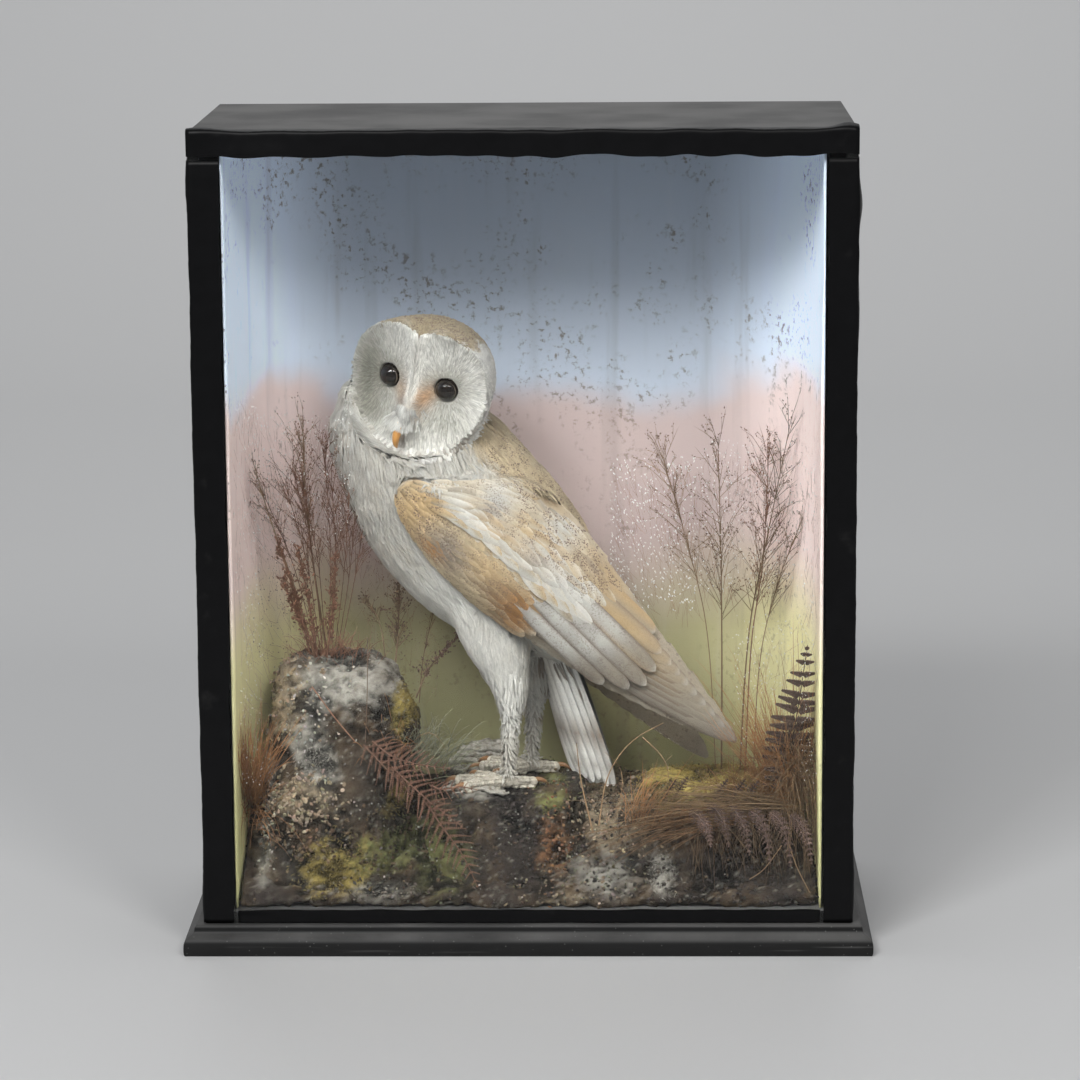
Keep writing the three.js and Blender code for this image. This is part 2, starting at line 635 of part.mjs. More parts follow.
const frond = (name, points) =>
  plant(name, points.map(([x, y, z, w]) => [x, y, z, w, 0.7]), ACROSS_X, 6, 7, "fern");
frond("fern_left_1", [[-104, -72, 96, 3], [-92, -80, 112, 11], [-74, -84, 122, 9], [-58, -86, 128, 2]]);
frond("fern_left_2", [[-84, -86, 104, 4], [-66, -91, 96, 13], [-50, -93, 84, 10], [-40, -93, 72, 2]]);
frond("fern_left_3", [[-66, -88, 82, 3], [-50, -92.5, 62, 11], [-38, -94, 46, 8], [-32, -94, 38, 2]]);
frond("fern_right_1", [[178, -44, 100, 3], [182, -52, 140, 10], [188, -56, 170, 8], [189, -58, 192, 2]]);
frond("fern_right_2", [[126, -84, 84, 3], [142, -90, 78, 11], [160, -91, 66, 9], [174, -90, 56, 2]]);

const tuft = (name, points) =>
  plant(name, points, ACROSS_X, 8, 5, "straw");
tuft("tuft_left", [[-186, -52, 96, 3, 3], [-187, -58, 118, 6, 7], [-187, -62, 138, 6, 9], [-187, -64, 150, 3, 5]]);
tuft("tuft_right", [[166, -34, 90, 4, 4], [162, -36, 118, 12, 8], [156, -38, 140, 16, 9], [150, -40, 160, 12, 6]]);
tuft("straw_low", [[176, -78, 92, 3, 2], [142, -77, 99, 8, 4], [108, -78, 95, 7, 4], [84, -78, 84, 3, 2]]);

export default group;
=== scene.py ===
# %% [markdown]
# A barn owl mounted in a glazed show case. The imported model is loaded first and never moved:
# every piece made below is measured from it, in metres, with +Z up and the glass towards -Y.
# %% Load the frame
import math

import bmesh
import bpy
import numpy as np
from mathutils import Matrix, Vector, noise
from mathutils.bvhtree import BVHTree


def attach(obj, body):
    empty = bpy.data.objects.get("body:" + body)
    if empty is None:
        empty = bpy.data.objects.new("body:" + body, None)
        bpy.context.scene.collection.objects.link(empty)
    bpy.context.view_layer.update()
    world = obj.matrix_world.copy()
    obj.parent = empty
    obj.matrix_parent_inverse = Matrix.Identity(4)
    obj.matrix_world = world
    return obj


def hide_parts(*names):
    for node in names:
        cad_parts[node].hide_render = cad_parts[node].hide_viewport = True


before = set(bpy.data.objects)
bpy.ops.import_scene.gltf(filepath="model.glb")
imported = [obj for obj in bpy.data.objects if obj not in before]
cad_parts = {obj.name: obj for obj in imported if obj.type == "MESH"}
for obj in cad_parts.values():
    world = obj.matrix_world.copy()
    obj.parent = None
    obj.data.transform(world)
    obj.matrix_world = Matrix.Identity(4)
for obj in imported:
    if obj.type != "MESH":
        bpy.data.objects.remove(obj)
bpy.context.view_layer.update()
MM = 0.001
rng = np.random.default_rng(11)

# %% [markdown]
# The camera stands well back with a long lens, a little above the case and a touch to its right,
# so that the uprights stay nearly parallel. It is built from its own three axes.
# %% Camera
FRAME_PIXELS = 1080
FOCAL_PIXELS = 3894
SENSOR = 36.0
CAMERA_PLACE = Vector((0.067, -2.638, 0.792))
CAMERA_YAW, CAMERA_PITCH, CAMERA_ROLL = (math.radians(a) for a in (-1.29, 11.32, -0.4))


def camera_axes(yaw, pitch, roll):
    """The camera's right, up and forward directions."""
    forward = Vector((math.sin(yaw) * math.cos(pitch), math.cos(yaw) * math.cos(pitch), -math.sin(pitch)))
    right = Vector((math.cos(yaw), -math.sin(yaw), 0))
    up = right.cross(forward)
    turned_right = math.cos(roll) * right + math.sin(roll) * up
    turned_up = -math.sin(roll) * right + math.cos(roll) * up
    return turned_right, turned_up, forward


right, up, forward = camera_axes(CAMERA_YAW, CAMERA_PITCH, CAMERA_ROLL)
lens = bpy.data.cameras.new("camera")
lens.sensor_width = SENSOR
lens.lens = FOCAL_PIXELS / FRAME_PIXELS * SENSOR
lens.clip_end = 30
camera = bpy.data.objects.new("camera", lens)
camera.matrix_world = Matrix(
    [[right[i], up[i], -forward[i], CAMERA_PLACE[i]] for i in range(3)] + [[0, 0, 0, 1]]
)
bpy.context.scene.collection.objects.link(camera)
bpy.context.scene.camera = camera
bpy.context.scene.view_settings.view_transform = "Standard"
print("lens", round(lens.lens, 1), "mm")

# %% [markdown]
# Soft studio light. Three panels stand high in front, to the left, in the middle and to the right.
# Because the case has a solid top, they leave an arched shadow on the back of the painted sheet
# and reach its sides. The pale room fills the shadows, and one more panel washes the wall behind.
# %% Lights, room and floor
def panel_light(name, place, aim, size, watts, tint=(1, 1, 1)):
    """A square soft panel at one point, turned towards another."""
    data = bpy.data.lights.new(name, "AREA")
    data.size = size
    data.energy = watts
    data.color = tint
    lamp = bpy.data.objects.new(name, data)
    lamp.location = place
    lamp.rotation_euler = (Vector(aim) - Vector(place)).to_track_quat("-Z", "Y").to_euler()
    bpy.context.scene.collection.objects.link(lamp)


CASE_MIDDLE, CASE_HIGH = (0, 0, 0.28), (0, 0, 0.50)
panel_light("key", (-0.42, -2.2, 2.38), CASE_MIDDLE, 0.5, 13.6, (1.0, 0.985, 0.96))
panel_light("left_key", (-0.98, -2.15, 2.07), CASE_HIGH, 0.7, 31, (0.98, 0.99, 1.0))
panel_light("right_key", (0.98, -2.15, 2.06), CASE_HIGH, 0.7, 18, (1.0, 0.99, 0.97))
panel_light("wall_wash", (0, 2.2, 3.4), (0, 3.6, 0.7), 2.0, 28)
room = bpy.data.worlds.new("room")
bpy.context.scene.world = room
room.use_nodes = True
room.node_tree.nodes["Background"].inputs["Color"].default_value = (0.80, 0.82, 0.85, 1)
room.node_tree.nodes["Background"].inputs["Strength"].default_value = 0.30

# %% [markdown]
# Every finish is a Principled material with its own procedural detail. Small helpers keep the node
# code short: one starts a material, one adds a node and sets its inputs, and one does sums. A shared
# node group gives the variation that most old surfaces have: a soft mottle that lightens and darkens
# a colour, with the same mottle as a height for bump.
# %% Helpers for node materials
def feed(tree, value, socket):
    """Links a socket to an input, or sets the input to a plain value."""
    if isinstance(value, bpy.types.NodeSocket):
        tree.links.new(value, socket)
    elif socket.type == "RGBA" and len(value) == 3:
        socket.default_value = (*value, 1)
    else:
        socket.default_value = value


def add(tree, kind, **settings):
    """A node of this kind. A setting is an attribute, or an input when its name is one."""
    made = tree.nodes.new("ShaderNode" + kind)
    for key, value in settings.items():
        label = key.replace("_", " ").title()
        if label in made.inputs:
            feed(tree, value, made.inputs[label])
        else:
            setattr(made, key, value)
    return made


def maths(tree, operation, *values):
    """The result of a sum on values or sockets."""
    made = add(tree, "Math", operation=operation)
    for value, socket in zip(values, made.inputs):
        feed(tree, value, socket)
    return made.outputs[0]


def start_material(name, **inputs):
    """A new material, its tree and its Principled shader with these plain input values."""
    material = bpy.data.materials.new(name)
    material.use_nodes = True
    shader = material.node_tree.nodes["Principled BSDF"]
    for key, value in inputs.items():
        shader.inputs[key.replace("_", " ").title().replace("Ior", "IOR")].default_value = value
    return material, material.node_tree, shader


def object_place(tree):
    """Object coordinates, which are also the row frame because every piece sits at the origin."""
    return add(tree, "TexCoord").outputs["Object"]


def blend_colours(tree, factor, first, second):
    """A mix of two colours or sockets by a factor or socket."""
    mix = add(tree, "Mix", data_type="RGBA")
    for index, value in ((0, factor), (6, first), (7, second)):
        feed(tree, value, mix.inputs[index])
    return mix.outputs[2]


def stepped(tree, value, low, high, start=0.0, end=1.0):
    """A smooth step of a value from one limit to the other."""
    ramp = add(tree, "MapRange", interpolation_type="SMOOTHSTEP", value=value)
    for key, number in (("From Min", low), ("From Max", high), ("To Min", start), ("To Max", end)):
        ramp.inputs[key].default_value = number
    return ramp.outputs["Result"]


def mottle_group():
    """The shared group: a colour made lighter and darker by a soft noise, and the noise itself."""
    tree = bpy.data.node_groups.new("mottle", "ShaderNodeTree")
    for label, kind in (("Place", "Vector"), ("Colour", "Color"), ("Scale", "Float"), ("Amount", "Float")):
        tree.interface.new_socket(label, in_out="INPUT", socket_type="NodeSocket" + kind)
    for label, kind in (("Colour", "Color"), ("Height", "Float")):
        tree.interface.new_socket(label, in_out="OUTPUT", socket_type="NodeSocket" + kind)
    inside, outside = tree.nodes.new("NodeGroupInput"), tree.nodes.new("NodeGroupOutput")
    broad = add(tree, "TexNoise", vector=inside.outputs["Place"], scale=inside.outputs["Scale"], detail=6.0)
    spread = maths(tree, "MULTIPLY_ADD", broad.outputs["Fac"], 2.0, -1.0)
    amount = maths(tree, "MULTIPLY_ADD", spread, inside.outputs["Amount"], 1.0)
    shade = add(tree, "VectorMath", operation="SCALE", scale=amount)
    tree.links.new(inside.outputs["Colour"], shade.inputs[0])
    tree.links.new(shade.outputs[0], outside.inputs["Colour"])
    tree.links.new(broad.outputs["Fac"], outside.inputs["Height"])
    return tree


mottle_tree = mottle_group()


def mottled(tree, colour, scale, amount, place=None):
    """The mottle group placed on a colour: its colour and height sockets."""
    made = tree.nodes.new("ShaderNodeGroup")
    made.node_tree = mottle_tree
    for label, value in (
        ("Place", place or object_place(tree)), ("Colour", colour), ("Scale", scale), ("Amount", amount)
    ):
        feed(tree, value, made.inputs[label])
    return made.outputs["Colour"], made.outputs["Height"]


def bump(tree, shader, height, strength, distance):
    """A height socket felt by the shader as relief."""
    relief = add(tree, "Bump", strength=strength, distance=distance, height=height)
    tree.links.new(relief.outputs["Normal"], shader.inputs["Normal"])


def freckled(tree, colour, tint, shade, cell, dot, patch, detail, patch_low):
    """Small dots of a shade, in loose patches, where the tint's alpha is high."""
    place = object_place(tree)
    cells = add(tree, "TexVoronoi", vector=place, scale=cell)
    patches = add(tree, "TexNoise", vector=place, scale=patch, detail=detail)
    dots = stepped(tree, cells.outputs["Distance"], *dot)
    weight = maths(tree, "MULTIPLY", dots, stepped(tree, patches.outputs["Fac"], patch_low, 0.56))
    weight = maths(tree, "MULTIPLY", weight, tint.outputs["Alpha"])
    return blend_colours(tree, weight, colour, shade)


def painted_material(name, scale, amount, relief, depth, speckle=None, **inputs):
    """A finish that takes its colour from the piece's own 'tint' attribute and adds fine variation."""
    material, tree, shader = start_material(name, **inputs)
    tint = add(tree, "Attribute", attribute_name="tint")
    colour, height = mottled(tree, tint.outputs["Color"], scale, amount)
    if speckle:
        colour = freckled(tree, colour, tint, speckle, 260.0, (0.42, 0.28), 210.0, 1.0, 0.50)
    tree.links.new(colour, shader.inputs["Base Color"])
    bump(tree, shader, height, relief, depth)
    return material

# %% [markdown]
# Pieces come in two ways. A single shape is a bmesh made with operators. What repeats thousands of
# times, such as feathers, blades of grass and crumbs, is one closed template copied with arrays and
# joined into one mesh. Both end in the same call, which says what body a piece rides on, which
# finish it takes and which imported nodes it stands for.
# %% Helpers for pieces
def finish_piece(mesh, name, material, nodes=(), smooth=True):
    """Links a mesh as a piece of the object, with its finish and what it stands for."""
    piece = bpy.data.objects.new(name, mesh)
    bpy.context.scene.collection.objects.link(piece)
    mesh.materials.clear()
    mesh.materials.append(material)
    mesh.polygons.foreach_set("use_smooth", np.full(len(mesh.polygons), smooth))
    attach(piece, "root")
    if nodes:
        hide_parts(*nodes)
    return piece


def bmesh_piece(bm, name, material, nodes=(), smooth=True):
    """Turns a finished bmesh into a piece."""
    bmesh.ops.recalc_face_normals(bm, faces=bm.faces)
    mesh = bpy.data.meshes.new(name)
    bm.to_mesh(mesh)
    bm.free()
    return finish_piece(mesh, name, material, nodes, smooth)


def array_mesh(name, points, faces, tint=None, uv=None):
    """One mesh from arrays of corners and triangles, with a colour for each corner point."""
    mesh = bpy.data.meshes.new(name)
    mesh.vertices.add(len(points))
    mesh.vertices.foreach_set("co", np.asarray(points, np.float32).ravel())
    mesh.loops.add(faces.size)
    mesh.loops.foreach_set("vertex_index", faces.ravel().astype(np.int32))
    mesh.polygons.add(len(faces))
    mesh.polygons.foreach_set("loop_start", np.arange(len(faces), dtype=np.int32) * 3)
    mesh.update(calc_edges=True)
    if tint is not None:
        paint_mesh(mesh, tint)
    if uv is not None:
        layer = mesh.uv_layers.new(name="OFBake")
        layer.data.foreach_set("uv", np.asarray(uv, np.float32)[faces.ravel()].ravel())
    return mesh


def paint_mesh(mesh, tint):
    """Stores one colour for each vertex as the 'tint' attribute. A fourth column is the speckle."""
    colours = np.ones((len(tint), 4), np.float32)
    colours[:, : tint.shape[1]] = tint
    if tint.shape[1] == 3:
        colours[:, 3] = 0
    layer = mesh.attributes.new("tint", "FLOAT_COLOR", "POINT")
    layer.data.foreach_set("color", colours.ravel())


def read(items, key, width, kind=np.float32):
    """One property of many mesh items as rows of numbers."""
    flat = np.empty(len(items) * width, kind)
    items.foreach_get(key, flat)
    return flat.reshape(-1, width)


def mesh_points(mesh):
    """The vertex places of a mesh."""
    return read(mesh.vertices, "co", 3).astype(float)


def mesh_normals(mesh):
    """The vertex normals of a mesh."""
    return read(mesh.vertex_normals, "vector", 3).astype(float)


def mesh_edges(mesh):
    """The edges of a mesh as pairs of vertex numbers."""
    return read(mesh.edges, "vertices", 2, np.int32)


def move_points(mesh, points):
    """Puts the vertices of a mesh at new places."""
    mesh.vertices.foreach_set("co", np.asarray(points, np.float32).ravel())
    mesh.update()


def unit(vectors):
    """Each row scaled to length one."""
    return vectors / np.maximum(np.linalg.norm(vectors, axis=-1, keepdims=True), 1e-9)


def field(points, size, seed=0.0):
    """Smooth noise between about -1 and 1 at each point, with lumps of this size."""
    scaled = np.asarray(points) / size + seed
    return np.array([noise.noise(Vector(p)) for p in scaled]) * 1.6


def rough_field(points, size, seed=0.0):
    """Noise with four finer layers, for broken surfaces."""
    scaled = np.asarray(points) / size + seed
    return np.array([noise.fractal(Vector(p), 0.9, 2.1, 4) for p in scaled])


def smoothstep(value, low, high):
    """0 below low, 1 above high, and smooth between."""
    share = np.clip((value - low) / (high - low), 0, 1)
    return share * share * (3 - 2 * share)


def turned_out(points, faces):
    """The triangles of one closed shape, wound so that their normals point out."""
    centred = points - points.mean(0)
    a, b, c = (centred[faces[:, k]] for k in range(3))
    return faces[:, ::-1] if np.einsum("ij,ij->i", a, np.cross(b, c)).sum() < 0 else faces


def band_faces(rings, sides):
    """Triangles between rings of points that are numbered one ring after another."""
    faces = []
    for level in range(rings - 1):
        for side in range(sides):
            a, b = level * sides + side, level * sides + (side + 1) % sides
            faces += [(a, b, b + sides), (a, b + sides, a + sides)]
    return faces


def sheet_faces(rows, columns):
    """Triangles of a thin sheet: a grid of points, the same grid again behind it, and the rim."""
    number = np.arange(rows * columns).reshape(rows, columns)
    front = np.stack([number[:-1, :-1], number[1:, :-1], number[1:, 1:], number[:-1, 1:]], -1).reshape(-1, 4)
    rim = np.concatenate([number[0, :-1], number[:-1, -1], number[-1, :0:-1], number[:0:-1, 0]])
    after, behind = np.roll(rim, -1), number.size
    edge = np.stack([after, rim, rim + behind, after + behind], 1)
    quads = np.concatenate([front, front[:, ::-1] + behind, edge])
    return np.concatenate([quads[:, [0, 1, 2]], quads[:, [0, 2, 3]]])


def joined(parts):
    """Several (points, faces, ...) arrays as one set."""
    starts = np.cumsum([0] + [len(p[0]) for p in parts[:-1]])
    merged = [np.concatenate([p[k] for p in parts]) for k in range(len(parts[0]))]
    merged[1] = np.concatenate([p[1] + start for p, start in zip(parts, starts)])
    return merged

# %% [markdown]
# The bird is measured in two frames of its own. One runs down the body, with s from the nape to the
# tail, n from the breast to the back and y across. The other sits on the face, with left, up and
# forward as the bird has them.
# %% The bird's two frames
SLOPE = math.radians(54)
BODY_START = np.array([-75.0, 0.0, 350.0])
BODY_DOWN = np.array([math.cos(SLOPE), 0, -math.sin(SLOPE)])
BODY_BACK = np.array([math.sin(SLOPE), 0, math.cos(SLOPE)])
FACE_PLACE = np.array([-77.0, -38.0, 377.5])
FACE_YAW, FACE_PITCH, FACE_ROLL = (math.radians(a) for a in (23, 5, 11))
DISC_HALF_WIDTH, DISC_TOP, DISC_BOTTOM, DISC_NOTCH, DISC_SWEEP = 51, 43.5, -46.5, 7, 10
EYE_SIDE, EYE_UP, EYE_RADIUS, EYE_SUNK = 21, 1, 8.2, 4
BILL_SET = -2.5

flat = math.cos(FACE_PITCH)
face_forward = Vector((-math.sin(FACE_YAW) * flat, -math.cos(FACE_YAW) * flat, -math.sin(FACE_PITCH)))
roll = Matrix.Rotation(-FACE_ROLL, 3, face_forward)
face_left = roll @ Vector((math.cos(FACE_YAW), -math.sin(FACE_YAW), 0))
face_up = face_forward.cross(face_left).normalized()
if face_up.z < 0:
    face_up.negate()
FACE_AXES = np.array([face_left, face_up, face_forward])


def body_place(s, n, y):
    """A point in metres from body measures in millimetres."""
    s, n, y = (np.asarray(v, float)[..., None] for v in np.broadcast_arrays(s, n, y))
    return (BODY_START + s * BODY_DOWN + n * BODY_BACK + y * np.array([0, 1, 0])) * MM


def body_measures(points):
    """(s, n, y) in millimetres of points in metres."""
    away = np.asarray(points) / MM - BODY_START
    return away @ BODY_DOWN, away @ BODY_BACK, away[..., 1]


def face_place(left, up, forward):
    """A point in metres from face measures in millimetres."""
    measures = np.stack(np.broadcast_arrays(left, up, forward), -1).astype(float)
    return (FACE_PLACE + measures @ FACE_AXES) * MM


def face_measures(points):
    """(left, up, forward) in millimetres of points in metres."""
    return ((np.asarray(points) / MM - FACE_PLACE) @ FACE_AXES.T).T


def face_depth(left, up, share):
    """How far the face stands forward of the disc's plane, in millimetres."""
    ridge = (5 + 9 * np.exp(-(((up + 20) / 15) ** 2))) * np.exp(-((left / 8.5) ** 2))
    sides = -DISC_SWEEP * (left / DISC_HALF_WIDTH) ** 2
    return sides - 5 * (1 - share**4) + ridge * np.clip((1 - share) * 6, 0, 1)


def signed_power(value, exponent):
    """A power that keeps the sign."""
    return np.sign(value) * np.abs(value) ** exponent


def disc_edge(angle):
    """The heart-shaped edge of the facial disc as (left, up)."""
    across, rise = np.cos(angle), np.sin(angle)
    left = DISC_HALF_WIDTH * signed_power(across, 0.9) * np.where(rise < 0, 1 - 0.1 * rise**2, 1)
    reach = np.where(rise > 0, DISC_TOP * signed_power(rise, 0.8), -DISC_BOTTOM * signed_power(rise, 0.95))
    return left, reach - np.where(rise > 0, DISC_NOTCH * np.exp(-((left / 11) ** 2)), 0)


def disc_share(left, up):
    """0 at the middle of the disc and 1 at its edge."""
    edge_left, edge_up = disc_edge(np.arctan2(up / 46, left / 50))
    return np.hypot(left, up) / np.hypot(edge_left, edge_up)


EYE_OUT = face_depth(EYE_SIDE, EYE_UP, EYE_SIDE / DISC_HALF_WIDTH) - EYE_SUNK
EYES = [face_place(side * EYE_SIDE, EYE_UP, EYE_OUT) for side in (1, -1)]
print("eyes at", [np.round(e, 4) for e in EYES])

# %% [markdown]
# On the real mount the skin is one piece from bill to tail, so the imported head, neck, trunk, wings,
# legs and feet are swollen a little until they meet, rebuilt as one surface with a voxel remesh,
# smoothed, and then let down by the depth of the plumage. The feathers fill that depth again.
# %% One skin under the plumage
FLESH = ("head", "neck", "trunk", "wing_left", "wing_right", "leg_left", "leg_right",
         "foot_left", "foot_right", "tail")
SWELL = 0.45 * MM
SKIN_VOXEL = 1.7 * MM
COAT_DEPTH = {"head": 2.6, "neck": 3.6, "trunk": 4.0, "wing_left": 1.2, "wing_right": 1.2,
              "leg_left": 4.2, "leg_right": 4.2, "foot_left": 0.2, "foot_right": 0.2, "tail": 1.2}
FACE_COAT_DEPTH = 1.0
HEAD, NECK, TRUNK, TAIL = (FLESH.index(name) for name in ("head", "neck", "trunk", "tail"))
SIDES = ("_left", "_right")
WINGS, LEGS, FEET = ([FLESH.index(part + side) for side in SIDES] for part in ("wing", "leg", "foot"))


def merged_copy(names, swell=0.0):
    """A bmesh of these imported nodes, with their loose triangles joined and the surface let out."""
    bm = bmesh.new()
    for name in names:
        bm.from_mesh(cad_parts[name].data)
    bmesh.ops.remove_doubles(bm, verts=bm.verts, dist=1e-5)
    bm.normal_update()
    for vertex in bm.verts:
        vertex.co += vertex.normal * swell
    return bm


def voxel_mesh(bm, name, size):
    """One closed surface around everything in a bmesh."""
    mesh = bpy.data.meshes.new(name + "_solid")
    bm.to_mesh(mesh)
    bm.free()
    holder = bpy.data.objects.new(name + "_holder", mesh)
    bpy.context.scene.collection.objects.link(holder)
    remesh = holder.modifiers.new("remesh", "REMESH")
    remesh.mode = "VOXEL"
    remesh.voxel_size = size
    graph = bpy.context.evaluated_depsgraph_get()
    made = bpy.data.meshes.new_from_object(holder.evaluated_get(graph))
    made.name = name
    bpy.data.objects.remove(holder)
    return made


def averaged(values, edges, steps, share=0.5):
    """Values at the vertices, each moved towards the mean of its neighbours."""
    values = np.asarray(values, float)
    flat = values.reshape(len(values), -1)
    count = np.bincount(edges.ravel(), minlength=len(flat))[:, None]
    for _ in range(steps):
        total = np.zeros_like(flat)
        for column in range(flat.shape[1]):
            total[:, column] += np.bincount(edges[:, 0], flat[edges[:, 1], column], len(flat))
            total[:, column] += np.bincount(edges[:, 1], flat[edges[:, 0], column], len(flat))
        flat = flat + share * (total / np.maximum(count, 1) - flat)
    return flat.reshape(values.shape)


def flesh_tree():
    """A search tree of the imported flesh, and which node each of its faces belongs to."""
    corners, faces, owners = [], [], []
    for number, name in enumerate(FLESH):
        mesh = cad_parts[name].data
        start = len(corners)
        corners += [v.co.copy() for v in mesh.vertices]
        for polygon in mesh.polygons:
            faces.append([start + i for i in polygon.vertices])
            owners.append(number)
    return BVHTree.FromPolygons(corners, faces), owners


packed_tree, packed_owner = flesh_tree()


def nearest_nodes(points):
    """For each point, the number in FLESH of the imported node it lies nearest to."""
    return np.array([packed_owner[packed_tree.find_nearest(Vector(p))[2]] for p in points])


skin = voxel_mesh(merged_copy(FLESH, SWELL), "owl_skin", SKIN_VOXEL)
skin_edges = mesh_edges(skin)
skin_points = averaged(mesh_points(skin), skin_edges, 3, 0.4)
skin_region = nearest_nodes(skin_points)
left, up, out = face_measures(skin_points)
share = disc_share(left, up)
on_disc = (skin_region == HEAD) & (share < 1.0) & (out > face_depth(left, up, np.minimum(share, 1)) - 8)
depth = np.array([COAT_DEPTH[name] for name in FLESH])[skin_region]
depth = averaged(np.where(on_disc, FACE_COAT_DEPTH, depth), skin_edges, 6)
move_points(skin, skin_points)
shrink = averaged(mesh_normals(skin), skin_edges, 2)
skin_points = averaged(skin_points - unit(shrink) * depth[:, None] * MM, skin_edges, 2, 0.4)
move_points(skin, skin_points)
print("skin", len(skin.vertices), "points")

# %% [markdown]
# The skin is unwrapped once. Each feather later keeps a tiny patch of this unwrap at its own root,
# so that a texture made for the skin also serves the plumage.
# %% Unwrap the skin
skin_piece = bpy.data.objects.new("owl_skin", skin)
bpy.context.scene.collection.objects.link(skin_piece)
bpy.context.view_layer.objects.active = skin_piece
skin_piece.select_set(True)
bpy.ops.object.mode_set(mode="EDIT")
bpy.ops.mesh.select_all(action="SELECT")
bpy.ops.mesh.quads_convert_to_tris()
bpy.ops.uv.smart_project(angle_limit=math.radians(70), island_margin=0.002)
bpy.ops.object.mode_set(mode="OBJECT")
skin_piece.select_set(False)
skin.uv_layers[0].name = "OFBake"
skin_points = mesh_points(skin)
skin_normals = unit(averaged(mesh_normals(skin), mesh_edges(skin), 4))
skin_faces = read(skin.polygons, "vertices", 3, np.int32)
skin_uv = read(skin.uv_layers["OFBake"].data, "uv", 2).reshape(-1, 3, 2)
skin_tree = BVHTree.FromPolygons([Vector(p) for p in skin_points], skin_faces.tolist())
face_region = skin_region[skin_faces[:, 0]]
corners = skin_points[skin_faces]
face_area = np.linalg.norm(np.cross(corners[:, 1] - corners[:, 0], corners[:, 2] - corners[:, 0]), axis=1) / 2
print("skin", len(skin_faces), "triangles", round(face_area.sum() * 1e4), "square centimetres")


def on_skin(points):
    """The nearest places on the skin, with smooth normals there."""
    places = np.empty((len(points), 3))
    normals = np.empty((len(points), 3))
    for row, point in enumerate(points):
        place, _, face, _ = skin_tree.find_nearest(Vector(point))
        places[row] = place
        normals[row] = skin_normals[skin_faces[face]].mean(0)
    return places, unit(normals)


def scatter(spacing, keep):
    """Roots over the skin at about this spacing. keep(points, regions) says where they may stand.
    Returns places, normals, regions and unwrap coordinates."""
    wanted = int(face_area.sum() / spacing**2 * 5)
    faces = rng.choice(len(skin_faces), wanted, p=face_area / face_area.sum())
    weights = rng.random((wanted, 2))
    weights = np.where(weights.sum(1, keepdims=True) > 1, 1 - weights, weights)
    weights = np.column_stack([1 - weights.sum(1), weights])[:, :, None]
    points = (skin_points[skin_faces[faces]] * weights).sum(1)
    _, first = np.unique(np.floor(points / spacing).astype(int), axis=0, return_index=True)
    first = first[keep(points[first], face_region[faces[first]])]
    chosen = faces[first]
    normals = unit((skin_normals[skin_faces[chosen]] * weights[first]).sum(1))
    spots = (skin_uv[chosen] * weights[first]).sum(1)
    return points[first], normals, face_region[chosen], spots

# %% [markdown]
# The markings of a barn owl are one function of place, used by the skin and by every feather.
# White face, breast and legs give way to gold on the crown, nape and mantle, where the gold is
# powdered with grey. The wing has its own chart in s and n: a gold wrist, a white-edged band of
# scapulars, a rusty patch of coverts and pale grey-buff quills.
# %% The markings
WHITE = np.array([0.60, 0.585, 0.545])
SILVER = np.array([0.42, 0.41, 0.375])
CREAM = np.array([0.54, 0.485, 0.395])
GOLD = np.array([0.455, 0.32, 0.17])
PALE_GOLD = np.array([0.47, 0.375, 0.245])
RUST = np.array([0.27, 0.14, 0.055])
ASH = np.array([0.19, 0.165, 0.145])
UMBER = np.array([0.12, 0.08, 0.05])
OLIVE = np.array([0.25, 0.24, 0.19])
QUILL = np.array([0.345, 0.30, 0.235])


def layered(colour, *layers):
    """Colours laid over the first one in turn, each with a weight for every point."""
    for weight, over in layers:
        weight = np.clip(weight, 0, 1)[:, None]
        colour = colour * (1 - weight) + over * weight
    return colour


def spot(s, n, at_s, at_n, size_s, size_n, turn=0.0):
    """A soft oval on the body chart."""
    angle = math.radians(turn)
    along = (s - at_s) * math.cos(angle) + (n - at_n) * math.sin(angle)
    across = -(s - at_s) * math.sin(angle) + (n - at_n) * math.cos(angle)
    return np.exp(-((along / size_s) ** 2) - ((across / size_n) ** 2))


# Patches on the scapulars: white, gold and ash ovals (s, n, half length, half width), their turn,
# their strength and their colour.
SCAPULAR_OVALS = (
    (((72, 17, 14, 8.0), (66, -7, 14, 5.5), (116, 36, 13, 6.0), (122, 22, 17, 5.5), (152, 20, 18, 5.5)),
     12, 1.0, WHITE * 0.95),
    (((62, 33, 28, 3.4), (88, 41, 26, 3.6), (110, 24, 26, 4.0), (178, 40, 34, 4.6), (158, 43, 24, 7.0),
      (50, 36, 26, 8.0), (88, 6, 34, 4.5)), 10, 0.8, GOLD * 0.95),
    (((95, 35, 11, 2.2), (74, 12, 8, 3.5), (120, 14, 9, 3.5), (148, 38, 12, 3.0), (60, 46, 16, 4.0),
      (196, 34, 12, 3.0)), 12, 0.6, ASH * 1.2),
)


